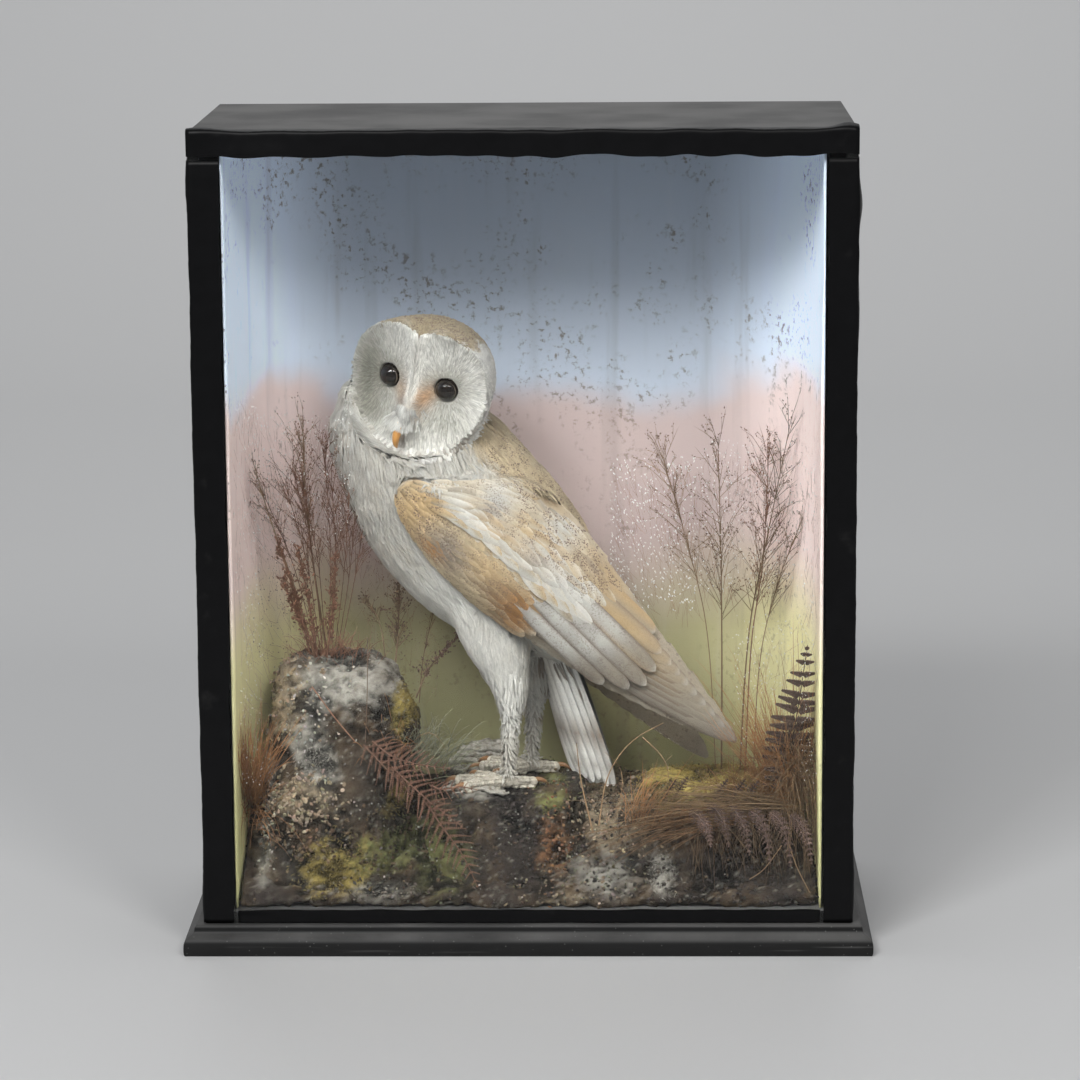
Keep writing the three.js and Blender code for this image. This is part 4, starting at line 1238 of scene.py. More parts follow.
SOFT_STEPS = ((0.0, 0.5), (0.15, 0.85), (0.35, 1.0), (0.55, 0.98), (0.72, 0.86), (0.86, 0.62), (0.95, 0.34))
wing_parts = []
for side in (NEAR, FAR):
    lesser = covert_rows(27, 74, lambda s: 3.4, -0.98, 0.96, lambda s: 9.5, grows(4.2, 5.4), (0.2, 1.3), 0.7)
    wing_parts.append(
        wing_blades(lesser, side, LEAF_SECTION, LEAF_STEPS, 0.35, chart_paint(0.08, 0.12, 0.10))
    )
    median = covert_rows(
        70, 118, lambda s: 6.0, -0.98, GROUP_EDGE + 0.1, lambda s: 17, grows(5.2, 6.6), (0.2, 1.5)
    )
    wing_parts.append(wing_blades(median, side, LEAF_SECTION, LEAF_STEPS, 0.4, chart_paint(0.09, 0.14, 0.10)))
    greater = covert_rows(
        108, 136, lambda s: 9.0, -0.96, GROUP_EDGE + 0.1, lambda s: 27, grows(6.0, 7.4), (0.5, 2.2)
    )
    wing_parts.append(
        wing_blades(greater, side, QUILL_SECTION, QUILL_STEPS, 0.45, chart_paint(0.12, 0.16, 0.14))
    )
    scapular = covert_rows(
        44, 150, grows(4.2, 7.0), GROUP_EDGE, 0.88, grows(20, 32), grows(5.5, 9.0), (2.0, 3.4), 2.2
    )
    wing_parts.append(
        wing_blades(scapular, side, QUILL_SECTION, SOFT_STEPS, 0.35, chart_paint(0.08, 0.03, 0.08))
    )
plumage(wing_parts, "wing_coverts", buff_feather)


def beside_wing(points, region):
    """Neck and back beside the upper edge of a folded wing."""
    s, n, _ = body_measures(points)
    middle, half = wing_span(s)
    gap = n - middle - half
    above = (gap > -5) & (gap < 13) & (s > 30) & (s < 120)
    return np.isin(region, (NECK, TRUNK)) & above


# The cape: feathers of the neck and mantle that fall over the wing's edge and hide where it starts.
cape_parts = thatch(
    1.55, beside_wing, length=16.0, width=2.1, height=0.34, lift=3.4, wander=0.10,
    flow=lambda p, r: np.tile(BODY_DOWN * 0.8 - BODY_BACK * 0.55, (len(p), 1)), over_wings=True,
)
plumage(cape_parts, "cape_feathers", buff_feather)

# %% [markdown]
# The quills are long, so each is placed by its own root and tip. The primaries lie lowest
# and reach the wing's point, the inner ones stepping back along the upper edge. The secondaries end
# as four blunt fingers over them, and the tertials close the fan over the back. The tail's feathers
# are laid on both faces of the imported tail, and are barred.
# %% Quills
PRIMARIES = 8
SECONDARIES = 4


def quill_rows():
    """Primaries first, then secondaries, then tertials, each inner feather over the outer one."""
    rows = []
    for i in range(PRIMARIES):
        share = i / (PRIMARIES - 1)
        root = (146 + 12 * share, -20 + 40 * share)
        tip = (309 - 72 * share**0.9, 44.5 - 3.0 * share)
        rows.append((*root, *tip, 15.0 - 2.5 * share, 0.2 + 0.5 * share, 0.3 + 2.2 * share))
    finger_tips = ((219, -3), (232, 9), (237, 20), (233, 31))
    for i, tip in enumerate(finger_tips):
        share = i / (SECONDARIES - 1)
        root = (134 + 6 * share, -15 + 34 * share)
        rows.append((*root, *tip, 12.0, 1.6 + 0.5 * share, 4.4 + 0.8 * share))
    for i, tip in enumerate(((226, 41), (212, 46))):
        rows.append((140 + 4 * i, 28 + 8 * i, *tip, 12.0, 2.0, 4.0))
    return rows


def quill_paint(s, n, t, across, number, points):
    """Grey-buff webs with faint bars, a pale lower edge, painted shade along the edges and over the inner
    web, and the far wing painted dark as shade.
    """
    grain = field(points, 0.0035, 31.0)
    colour = np.tile(QUILL * 0.86, (len(s), 1)) * (1 + 0.08 * grain[:, None])
    finger = ((number >= PRIMARIES) & (number < PRIMARIES + SECONDARIES))[:, None]
    colour = np.where(finger, layered(colour * 0.84, (smoothstep(t, 0.84, 0.48) * 0.8, WHITE * 0.88)), colour)
    bar_place = (s + 2 * grain - 0.25 * n) % 27
    bar = np.exp(-(((bar_place - 13) / 3.4) ** 2)) * 0.38
    colour = layered(
        colour,
        (bar * (1 - smoothstep(t, 0.9, 1.0)), ASH * 1.1),
        (smoothstep(-across, 0.55, 0.80) * 0.45, WHITE * 0.92),
        # Painted shade: dark edges between the feathers, and a darker inner web under the next feather.
        (smoothstep(np.abs(across), 0.80, 0.98) * 0.75, UMBER * 1.2),
        (smoothstep(across, 0.2, 0.9) * 0.30, ASH * 1.5),
    )
    gold = spot(s, n, 190, 38, 48, 6.5, 4) * 0.9
    colour = layered(
        colour,
        (gold, GOLD * 1.02),
        (smoothstep(t, 0.95, 1.0) * 0.4, WHITE * 0.85),
        (smoothstep(s, 270, 306) * 0.35, ASH * 1.3),
    )
    # Painted shade: the quills of the far wing are painted dark, as under the near wing.
    far_wing_shade = smoothstep(points[:, 1] / MM, 0, 6)
    colour = colour * np.where(far_wing_shade[:, None] > 0.5, np.array([0.15, 0.13, 0.10]), 1.0)
    return np.column_stack([colour, np.where(finger[:, 0], 0.40, 0.12)])


quill_parts = [
    wing_blades(quill_rows(), side, QUILL_SECTION, QUILL_STEPS, 0.55, quill_paint) for side in (NEAR, FAR)
]
# The tail's middle line: x, y, z, half width and half thickness in millimetres.
TAIL_STATIONS = np.array(
    [
        (14, 6, 200, 13, 9), (20, 5, 178, 17, 7), (28, 5, 150, 21, 5), (36, 5, 120, 22, 3.6),
        (43, 5, 99, 18, 2.4), (46, 5, 88, 9, 1.4)
    ]
)
TAIL_TURN = math.radians(42)
tail_across = np.array([math.sin(TAIL_TURN), -math.cos(TAIL_TURN), 0])
tail_along = unit(TAIL_STATIONS[-1, :3] - TAIL_STATIONS[0, :3])
tail_out = unit(np.cross(tail_across, tail_along))


def tail_blades(face):
    """The tail feathers on one face of the tail, the middle pair on top."""
    path, up, widths = [], [], []
    for order, v in enumerate((-1.0, 1.0, -0.7, 0.7, -0.38, 0.38, 0.0)):
        stations = []
        for level, share in enumerate((0.02, 0.52, 0.985 - 0.035 * order % 0.09)):
            at = share * (len(TAIL_STATIONS) - 1)
            x, y, z, half, thick = (np.interp(at, range(len(TAIL_STATIONS)), c) for c in TAIL_STATIONS.T)
            spread = (half, half, 21)[level]
            lift = thick * (1 - 0.7 * v * v) * 0.9 + 0.15 * order
            stations.append(np.array([x, y, z]) + tail_across * v * spread * 0.92 + tail_out * face * lift)
        path.append(stations)
        up.append([tail_out * face] * 3)
        widths.append(9.2)
    path = np.array(path) * MM

    def tint(points, t, across, number):
        grain = field(points, 0.004, 41.0)
        # Painted light: the tail's white is brighter than the rest of the plumage.
        colour = np.tile(WHITE * 1.5, (len(t), 1)) * (1 + 0.06 * grain[:, None])
        # Painted shade darkens the tail towards its right side.
        colour = layered(
            colour,
            (smoothstep(points[:, 0] / MM + 0.25 * (points[:, 2] / MM - 150), 33, 50) * 0.7, ASH * 1.3),
        )
        z = points[:, 2] / MM
        for bar in (172, 149, 127, 106):
            colour = layered(colour, (np.exp(-(((z - bar + 2 * grain) / 3.2) ** 2)) * 0.8, UMBER * 1.6))
        # Painted shade darkens one edge of each feather.
        colour = layered(colour, (smoothstep(across, 0.4, 1.0) * 0.25, ASH * 1.4))
        return np.column_stack([colour, np.full(len(t), 0.15)])

    return grow(
        path, np.array(up), np.array(widths) * MM, np.full(len(path), 0.5 * MM), QUILL_SECTION, QUILL_STEPS,
        tint, wing_spots(path[:, 0])
    )


quill_parts += [tail_blades(face) for face in (1, -1)]
plumage(quill_parts, "quills", buff_feather)

# %% [markdown]
# The eyes are glass, as in any mounted bird: plain dark domes, polished, set in thin bare lids.
# The bill is a short tube of horn that narrows to a hook, and the claws are curved cones. Each is
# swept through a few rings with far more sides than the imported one.
# %% Swept tubes
def curve_points(points, count):
    """Points spaced along a smooth curve through a few given ones."""
    points = np.array(points, float)
    t = np.linspace(0, len(points) - 1, count)
    low = np.clip(np.floor(t).astype(int), 0, len(points) - 2)
    f = (t - low)[:, None]
    before, after = points[np.maximum(low - 1, 0)], points[np.minimum(low + 2, len(points) - 1)]
    a, b = points[low], points[low + 1]
    return 0.5 * (2 * a + (b - before) * f + (2 * before - 5 * a + 4 * b - after) * f**2
                  + (3 * a - before - 3 * b + after) * f**3)


def swept(stations, sides, across_hint, rings=24):
    """A closed tube as arrays through stations (x, y, z, half breadth, half depth) in millimetres."""
    curve = curve_points(stations, rings)
    t = np.linspace(0, len(stations) - 1, rings)
    centre = curve[:, :3]
    tangent = unit(np.gradient(centre, axis=0))
    depth = unit(np.cross(tangent, np.asarray(across_hint, float)))
    across = np.cross(depth, tangent)
    angle = np.linspace(0, 2 * math.pi, sides, endpoint=False)
    half, deep = (np.maximum(curve[:, column], 0.05)[:, None] for column in (3, 4))
    ring = centre[:, None] + across[:, None] * (half * np.cos(angle))[..., None]
    ring = ring + depth[:, None] * (deep * np.sin(angle))[..., None]
    points = np.concatenate([ring.reshape(-1, 3), centre[:1], centre[-1:]]) * MM
    first, last, end = rings * sides, rings * sides + 1, (rings - 1) * sides
    faces = band_faces(rings, sides)
    faces += [(first, (side + 1) % sides, side) for side in range(sides)]
    faces += [(last, end + side, end + (side + 1) % sides) for side in range(sides)]
    faces = turned_out(points, np.array(faces))
    return points, faces, np.concatenate([np.repeat(t / t[-1], sides), [0.0, 1.0]])

# %% [markdown]
# Each eye is a polished sphere set deep in the skin. A ring of short overlapping tubes makes its lid.
# %% Eyes and lids
eye_finish, eye_tree, eye_shader = start_material(
    "eye_glass", roughness=0.05, specular_ior_level=0.25, coat_weight=0.8, coat_roughness=0.025
)
eye_facing = add(eye_tree, "TexNoise", vector=object_place(eye_tree), scale=300.0, detail=2.0)
eye_tree.links.new(
    blend_colours(eye_tree, eye_facing.outputs["Fac"], (0.004, 0.003, 0.002), (0.012, 0.007, 0.004)),
    eye_shader.inputs["Base Color"],
)
lid_finish = painted_material("eyelid", 900, 0.25, 0.4, 0.0003, roughness=0.6)
lid_parts = []
for number, (name, side) in enumerate((("eye_left", 1), ("eye_right", -1))):
    bm = bmesh.new()
    bmesh.ops.create_uvsphere(bm, u_segments=48, v_segments=32, radius=EYE_RADIUS * MM)
    bmesh.ops.translate(bm, verts=bm.verts, vec=Vector(EYES[number]))
    bmesh_piece(bm, name + "_glass", eye_finish, (name,))
    axis = unit(FACE_AXES[2] + 0.16 * side * FACE_AXES[0])
    level = unit(np.cross(FACE_AXES[1], axis))
    rise = np.cross(axis, level)
    ring_angle = np.linspace(0, 2 * math.pi, 49)
    upper = np.clip(np.sin(ring_angle), 0, 1)
    radius = 6.75 - 0.25 * upper
    ring = EYES[number] / MM + level * (radius * np.cos(ring_angle))[:, None]
    ring = ring + rise * (radius * np.sin(ring_angle) * 0.97)[:, None] + axis * (3.6 + 0.5 * upper)[:, None]
    for k in range(48):
        span = unit(ring[(k + 1) % 48] - ring[k])
        a, b = ring[k] - span * 0.25, ring[(k + 1) % 48] + span * 0.25
        lid_parts.append(swept([(*a, 0.8, 0.55), (*(a + b) / 2, 0.85, 0.58), (*b, 0.8, 0.55)], 8, axis, 3))
points, faces, along = joined(lid_parts)
lid_tint = np.tile([0.10, 0.078, 0.058], (len(points), 1)) * (1 + 0.2 * field(points, 0.002))[:, None]
mesh = array_mesh("eyelids", points, faces, lid_tint)
finish_piece(mesh, "eyelids", lid_finish)
print("lids", len(faces), "triangles")

# %% [markdown]
# The bill comes out from under a beard of bristles that hides all but its hook. A claw continues
# each toe, first level with it and then down into the rock.
# %% Bill and claws
horn = painted_material("bill_horn", 500, 0.12, 0.15, 0.0003, roughness=0.38, coat_weight=0.15)
BILL = (
    (-24, 5.5, 2.2, 2.6), (-27, 7.6, 2.5, 3.2), (-31, 10, 2.8, 3.4), (-35, 11, 2.5, 3.1),
    (-39, 10.2, 1.8, 2.2), (-42, 8.2, 0.85, 0.95), (-43.2, 7.2, 0.2, 0.2)
)
bill_stations = [(*(face_place(BILL_SET, up, out) / MM), half, deep) for up, out, half, deep in BILL]
points, faces, along = swept(bill_stations, 24, FACE_AXES[0], 36)
bill_tint = layered(
    np.tile([0.56, 0.27, 0.075], (len(points), 1)),
    (smoothstep(along, 0.72, 0.98) * 0.5, np.array([0.62, 0.44, 0.28])),
    ((1 - smoothstep(along, 0.05, 0.38)) * 0.6, np.array([0.60, 0.40, 0.27])),
)
finish_piece(array_mesh("bill_horn", points, faces, bill_tint), "bill_horn", horn, ("bill",))


def muzzle(left, up):
    """How far the face, or the bill where there is one, stands out."""
    table = np.array(BILL)[::-1]
    out, half, deep = (np.interp(up, table[:, 0], table[:, column]) for column in (1, 2, 3))
    aside = np.clip(np.abs(left - BILL_SET) / half, 0, 1)
    ridge = np.where(up < table[-1, 0], out + deep * np.sqrt(1 - aside**2), -99)
    return np.maximum(face_depth(left, up, disc_share(left, up)), ridge)


# Bristles grow down over the root of the bill and leave only its hook bare.
count = 420
left, up = BILL_SET + rng.normal(0, 4.2, count), rng.uniform(-26.5, -13.0, count)
long = rng.uniform(4.0, 7.0, count)
stations = []
for share, raised in ((0.0, -0.8), (0.5, 0.9), (1.0, 1.1)):
    at_left = BILL_SET + (left - BILL_SET) * (1 + 0.35 * share)
    at_up = np.maximum(up - long * share, -29.0 - 0.9 * np.abs(left - BILL_SET))
    places = zip(at_left, at_up, muzzle(at_left, at_up) + raised)
    stations.append(np.array([face_place(*place) for place in places]))
path = np.stack(stations, 1)
bristle = np.column_stack([WHITE * 0.86 * np.exp(rng.normal(0, 0.12, count))[:, None], np.zeros(count)])
bristles = grow(
    path, np.tile(FACE_AXES[2], (count, 3, 1)), np.full(count, 0.7 * MM), np.full(count, 0.22 * MM),
    LOCK_SECTION, LOCK_STEPS, (bristle * 0.85, bristle), wing_spots(path[:, 0])
)
plumage([bristles], "bill_bristles", white_feather)

claw_horn = painted_material("claw_horn", 500, 0.2, 0.1, 0.0003, roughness=0.3, coat_weight=0.3)
PERCH_TOP, LEG_SPREAD, FAR_STEP, ANKLE_X = 92.3, 22, 15, -15
TOES = ((-24, 31, 4.2), (6, 34, 4.4), (40, 27, 4.0), (176, 17, 3.8))
claw_parts, toe_lines = [], []
for side, step in ((-1, 0), (1, FAR_STEP)):
    ankle = np.array([ANKLE_X + step, side * LEG_SPREAD, PERCH_TOP])
    for heading, reach, radius in TOES:
        angle = math.pi + math.radians(heading) * side
        ahead = np.array([math.cos(angle), math.sin(angle), 0])
        across = np.array([-ahead[1], ahead[0], 0])
        toe_lines.append((ankle, ahead, across, reach, radius))
        shape = (
            (reach - 1, radius + 1.5, 1.9), (reach + 4, radius + 2.6, 1.75), (reach + 8, radius + 1.4, 1.25),
            (reach + 10.8, radius - 1.4, 0.7), (reach + 11.6, 0.9, 0.15)
        )
        stations = [(*(ankle + ahead * x + np.array([0, 0, z])), r * 0.85, r) for x, z, r in shape]
        claw_parts.append(swept(stations, 12, across, 18))
points, faces, along = joined(claw_parts)
claw_tint = layered(
    np.tile([0.26, 0.135, 0.06], (len(points), 1)),
    (smoothstep(along, 0.35, 0.8), np.array([0.045, 0.022, 0.012])),
)
claw_nodes = [f"claw_{side}_{number}" for side in ("left", "right") for number in range(1, 5)]
finish_piece(array_mesh("claws", points, faces, claw_tint), "claws", claw_horn, claw_nodes)
print("claws", len(claw_parts))

# %% [markdown]
# The toes carry rows of pale scales on top and pads below. Each scale is a flattened bead, set
# across the toe in pairs, and the dried skin between them stays dull.
# %% Scales on the toes
def beads(centres, axes, sizes, detail):
    """Small closed ellipsoids as arrays. axes is (count, 3, 3), sizes (count, 3) in metres."""
    bm = bmesh.new()
    bmesh.ops.create_icosphere(bm, subdivisions=detail, radius=1)
    ball = np.array([v.co for v in bm.verts])
    ball_faces = np.array([[v.index for v in f.verts] for f in bm.faces])
    bm.free()
    points = centres[:, None] + np.einsum("kc,ncd->nkd", ball, axes * sizes[:, :, None])
    faces = ball_faces[None] + (np.arange(len(centres)) * len(ball))[:, None, None]
    return points.reshape(-1, 3), faces.reshape(-1, 3), len(ball)


centres, axes, sizes = [], [], []
for ankle, ahead, across, reach, radius in toe_lines:
    for x in np.arange(5.0, reach + 0.5, 1.9):
        for turn in (-62, -20, 22, 64):
            lean = math.radians(turn)
            out = across * math.sin(lean) + np.array([0, 0, 1]) * math.cos(lean)
            girth = radius * (1.0 if x < reach * 0.7 else 0.88)
            centres.append(
                ankle + ahead * (x + 0.5 * (turn % 3)) + np.array([0, 0, radius + 1.1]) + out * girth * 0.93
            )
            axes.append([ahead, np.cross(out, ahead), out])
            sizes.append([1.25, girth * 0.34, 0.45])
    pads = [(reach + 0.6, radius + 0.9, (3.0, radius * 0.98, radius * 0.95))]
    pads += [(reach * share, 1.9, (3.4, radius * 0.95, 1.9)) for share in (0.3, 0.62, 0.95)]
    for x, z, size in pads:
        centres.append(ankle + ahead * x + np.array([0, 0, z]))
        axes.append([ahead, across, [0, 0, 1]])
        sizes.append(size)
centres, axes, sizes = np.array(centres) * MM, np.array(axes), np.array(sizes) * MM
points, faces, ball = beads(centres, axes, sizes, 2)
tone = np.repeat(1 + 0.14 * rng.normal(0, 1, len(centres)), ball)
scale_tint = np.array([0.44, 0.40, 0.33]) * tone[:, None]
toe_skin = painted_material("toe_skin", 700, 0.3, 0.4, 0.0003, roughness=0.62)
finish_piece(array_mesh("toe_scales", points, faces, scale_tint), "toe_scales", toe_skin)
print("toe scales", len(centres))

# %% [markdown]
# The case is a pine box stained black. The plinth's moulding is one profile carried round four
# mitred sides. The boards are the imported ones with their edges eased, so that they catch the light.
# Dust lies grey on what faces up, and the varnish is rubbed and scratched.
# %% Case woodwork
VARNISH_BASE, VARNISH_DUST = (0.010, 0.010, 0.010), (0.155, 0.152, 0.148)


def dusty_black():
    """Worn black varnish, with grey dust on faces that look up."""
    material, tree, shader = start_material("ebonised_wood", roughness=0.5, specular_ior_level=0.28)
    place = object_place(tree)
    colour, height = mottled(tree, VARNISH_BASE, 45.0, 0.35, place)
    stretched = add(tree, "Mapping", vector=place, scale=(3.0, 90.0, 90.0))
    grain = add(tree, "TexNoise", vector=stretched.outputs[0], scale=4.0, detail=5.0)
    rubbed = stepped(tree, grain.outputs["Fac"], 0.60, 0.78, 0.0, 0.35)
    colour = blend_colours(tree, rubbed, colour, VARNISH_DUST)
    upward = add(tree, "SeparateXYZ", vector=add(tree, "NewGeometry").outputs["Normal"])
    lying = stepped(tree, upward.outputs["Z"], 0.25, 0.95)
    patch = add(tree, "TexNoise", vector=place, scale=14.0, detail=8.0)
    spread = stepped(tree, patch.outputs["Fac"], 0.30, 0.66, 0.28, 0.8)
    colour = blend_colours(tree, maths(tree, "MULTIPLY", lying, spread), colour, VARNISH_DUST)
    scratch = add(tree, "TexVoronoi", vector=place, scale=220.0)
    fleck = stepped(tree, scratch.outputs["Distance"], 0.11, 0.05, 0.0, 0.55)
    colour = blend_colours(tree, fleck, colour, tuple(1.5 * d for d in VARNISH_DUST))
    tree.links.new(colour, shader.inputs["Base Color"])
    bump(tree, shader, height, 0.25, 0.0005)
    return material


varnish = dusty_black()
PLINTH_HALF = (233, 116)
MOULDING = (
    (1.0, 0.0), (0.0, 1.5), (0.0, 8.0), (1.0, 11.0), (3.5, 13.0), (6.0, 14.5), (7.0, 16.0), (7.0, 18.5),
    (8.5, 20.0)
)


def rounded_profile(profile, rounds):
    """A profile with its corners cut twice as soft each round, keeping its two ends."""
    line = np.array(profile, float)
    for _ in range(rounds):
        cut = np.empty((2 * (len(line) - 1), 2))
        cut[0::2] = line[:-1] * 0.75 + line[1:] * 0.25
        cut[1::2] = line[:-1] * 0.25 + line[1:] * 0.75
        line = np.vstack([line[:1], cut, line[-1:]])
    return line


bm = bmesh.new()
loops = []
for inset, z in rounded_profile(MOULDING, 2):
    x, y = PLINTH_HALF[0] - inset, PLINTH_HALF[1] - inset
    loops.append([bm.verts.new(Vector((cx, cy, z)) * MM) for cx, cy in ((-x, -y), (x, -y), (x, y), (-x, y))])
for lower, upper in zip(loops, loops[1:]):
    for k in range(4):
        bm.faces.new((lower[k], lower[(k + 1) % 4], upper[(k + 1) % 4], upper[k]))
bm.faces.new(loops[0])
bm.faces.new(loops[-1])
bmesh_piece(bm, "plinth_moulding", varnish, ("plinth",), smooth=False)


def eased(nodes, name, width, material):
    """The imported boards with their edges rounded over."""
    bm = merged_copy(nodes)
    bmesh.ops.dissolve_limit(bm, angle_limit=math.radians(2), verts=bm.verts, edges=bm.edges)
    sharp = [edge for edge in bm.edges if edge.calc_face_angle(0) > math.radians(40)]
    bmesh.ops.bevel(bm, geom=sharp, offset=width, segments=3, profile=0.5, affect="EDGES", material=-1)
    return bmesh_piece(bm, name, material, nodes, smooth=False)


BOARDS = ("side_board_left", "side_board_right", "top_board", "back_board", "floor_board")
for board in BOARDS:
    eased((board,), board + "_eased", 0.9 * MM, varnish)
print("case boards", len(BOARDS))

# %% [markdown]
# Black gummed paper binds the glass to the box. It is a thin sheet folded round the edge, creased
# where it was pressed down, swollen where the glue has let go and lifting at its ends.
# %% Paper strips
paper, paper_tree, paper_shader = start_material("paper_strip", roughness=0.40, specular_ior_level=0.16)
paper_colour, paper_height = mottled(paper_tree, (0.0025, 0.0025, 0.003), 90.0, 0.5)
paper_dust = add(paper_tree, "TexNoise", vector=object_place(paper_tree), scale=35.0, detail=9.0)
paper_dust = stepped(paper_tree, paper_dust.outputs["Fac"], 0.66, 0.84, 0.0, 0.12)
paper_colour = blend_colours(paper_tree, paper_dust, paper_colour, (0.16, 0.155, 0.15))
paper_tree.links.new(paper_colour, paper_shader.inputs["Base Color"])
bump(paper_tree, paper_shader, paper_height, 0.35, 0.0006)
STRIP_THICK = 0.5


def paper_strip(name, path, start, finish, order, seed, lift, edge_wave=0.8):
    """A folded sheet. path is its cross-section from the free edge round the corner, in millimetres,
    and it runs from start to finish up the case (order 1) or across it (order -1).
    lift(share, across) raises it in places."""
    path = np.array(path, float)
    steps = np.concatenate([[0], np.cumsum(np.linalg.norm(np.diff(path, axis=0), axis=1))])
    wide, long = 26, max(12, int(abs(finish - start) / 3.2))
    across = np.linspace(0, steps[-1], wide)
    line = np.stack([np.interp(across, steps, path[:, k]) for k in range(2)], 1)
    line = averaged(line, np.stack([np.arange(wide - 1), np.arange(1, wide)], 1), 2, 0.5)
    outward = np.gradient(line, axis=0)
    outward = unit(np.stack([outward[:, 1], -outward[:, 0]], 1))
    if outward[0] @ np.array([0.0, -1.0]) < 0:
        outward = -outward
    share = np.linspace(0, 1, long)
    grid_s, grid_a = np.meshgrid(share, across / steps[-1], indexing="ij")
    at = start + (finish - start) * grid_s
    spots = np.stack([at, grid_a * steps[-1], np.full_like(at, seed)], -1).reshape(-1, 3)
    broad = field(spots, 34.0, seed).reshape(grid_s.shape)
    creases = np.abs(field(spots * np.array([1.0, 0.35, 1.0]), 7.0, seed + 4)).reshape(grid_s.shape)
    height = 0.25 + 0.28 * np.clip(broad, -0.6, 1) + 0.22 * (1 - creases) + lift(grid_s, grid_a)
    wave = edge_wave * field(np.stack([at[:, 0], np.zeros(long), np.full(long, seed + 9)], 1), 22.0)
    shift = wave[:, None] * (1 - grid_a)
    inward = unit(line[0] - line[1])
    base = line[None] + outward[None] * np.maximum(height, 0.12)[..., None] + inward * shift[..., None]
    sheet = []
    for down in (0.0, STRIP_THICK):
        flat = base - outward[None] * down
        sheet.append(np.stack((flat[..., 0], flat[..., 1], at)[::order], -1).reshape(-1, 3))
    bm = bmesh.new()
    bm.from_mesh(array_mesh(name, np.concatenate(sheet) * MM, sheet_faces(long, wide)))
    return bmesh_piece(bm, name + "_paper", paper, (name,))


FRONT_Y, BACK_Y, SIDE_X, TOP_Z = -104.4, -91.5, 219.3, 556.3


def bumps(*places):
    """Raised places along a strip: (share of its length, size, height, 0 for the inner edge)."""
    def lift(share, across):
        total = np.zeros_like(share)
        for at, size, height, edge in places:
            total += height * np.exp(-(((share - at) / size) ** 2)) * np.exp(-(((across - edge) / 0.35) ** 2))
        return total
    return lift


paper_strip("strip_left", ((-197.5, FRONT_Y), (-SIDE_X, FRONT_Y), (-SIDE_X, BACK_Y)), 20.6, 537.5,
            1, 2.0,
            bumps((0.03, 0.03, 2.0, 1.0), (0.36, 0.05, 0.8, 1), (0.62, 0.05, 1.0, 1), (0.97, 0.03, 1.2, 0.8)))
paper_strip("strip_right", ((198.5, FRONT_Y), (SIDE_X, FRONT_Y), (SIDE_X, BACK_Y)), 20.6, 537.5,
            1, 12.0,
            bumps((0.05, 0.04, 1.6, 1.0), (0.45, 0.06, 0.9, 1), (0.80, 0.05, 1.5, 1), (0.94, 0.03, 2.8, 1)))
paper_strip(
    "strip_top", ((538.6, FRONT_Y), (TOP_Z, FRONT_Y), (TOP_Z, BACK_Y)), -219.4, 219.4, -1, 22.0,
    bumps((0.02, 0.03, 1.8, 0.8), (0.12, 0.06, 1.0, 0.0), (0.45, 0.1, 0.6, 1), (0.985, 0.02, 3.4, 0.9)), 1.4
)
paper_strip("strip_bottom", ((30.0, FRONT_Y), (20.5, FRONT_Y)), -196.4, 197.4,
            -1, 32.0, bumps((0.02, 0.03, 1.8, 0.0), (0.6, 0.08, 0.4, 0)), 0.5)

# %% [markdown]
# The pane is real glass with a faint green body. Light that only casts shadows passes straight
# through it, which keeps the inside of the case clean.
# %% Glass
pane, pane_tree, pane_shader = start_material(
    "pane", roughness=0.0, metallic=0.0, transmission_weight=1.0, ior=1.22, base_color=(0.97, 0.985, 0.98, 1)
)
shadow_only = add(pane_tree, "LightPath").outputs["Is Shadow Ray"]
pane_mix = add(pane_tree, "MixShader")
clear = add(pane_tree, "BsdfTransparent").outputs[0]
for value, socket in zip((shadow_only, pane_shader.outputs[0], clear), pane_mix.inputs):
    pane_tree.links.new(value, socket)
pane_tree.links.new(pane_mix.outputs[0], pane_tree.nodes["Material Output"].inputs["Surface"])
glass_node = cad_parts["front_glass"]
glass_node.data.materials.clear()
glass_node.data.materials.append(pane)
print("pane", len(glass_node.data.polygons), "faces")

# %% [markdown]
# Behind the bird a sheet of paper is bent round the back corners and painted in distemper: blue
# sky, a pink band, then green ground, each fading into the next. Damp has streaked it and left
# clusters of brown mould.
# %% Painted backdrop
SHEET_HALF, SHEET_FRONT, SHEET_DEPTH, SHEET_THICK, SHEET_POWER = 199, -96, 194, 2, 2 / 3
SHEET_LOW, SHEET_HIGH = 28.6, 543.7


def sheet_outline(inset, count):
    """The bent sheet's line from one front edge round to the other."""
    angle = np.linspace(0, math.pi, count)
    x = np.sign(np.cos(angle)) * np.abs(np.cos(angle)) ** SHEET_POWER * (SHEET_HALF - inset)
    return x, SHEET_FRONT + np.abs(np.sin(angle)) ** SHEET_POWER * (SHEET_DEPTH - inset)


SHEET_COLUMNS, SHEET_ROWS = 145, 60
inner = np.stack(sheet_outline(SHEET_THICK, SHEET_COLUMNS), 1)
outer = np.stack(sheet_outline(0.5, SHEET_COLUMNS), 1)
levels = np.linspace(SHEET_LOW, SHEET_HIGH, SHEET_ROWS)
grid_z, grid_k = np.meshgrid(levels, np.arange(SHEET_COLUMNS), indexing="ij")
facing = unit(inner.mean(0) - inner)
cockle = np.stack([inner[grid_k, 0], inner[grid_k, 1], grid_z * 0.5], -1).reshape(-1, 3)
cockle = 1.1 * field(cockle, 60.0, 3.0)
cockle = np.maximum(cockle.reshape(grid_z.shape), -0.8)
front_xy = inner[grid_k] + facing[grid_k] * cockle[..., None]
front_points = np.concatenate([front_xy, grid_z[..., None]], -1).reshape(-1, 3)
back_points = np.concatenate([outer[grid_k], grid_z[..., None]], -1).reshape(-1, 3)
faces = sheet_faces(SHEET_ROWS, SHEET_COLUMNS)

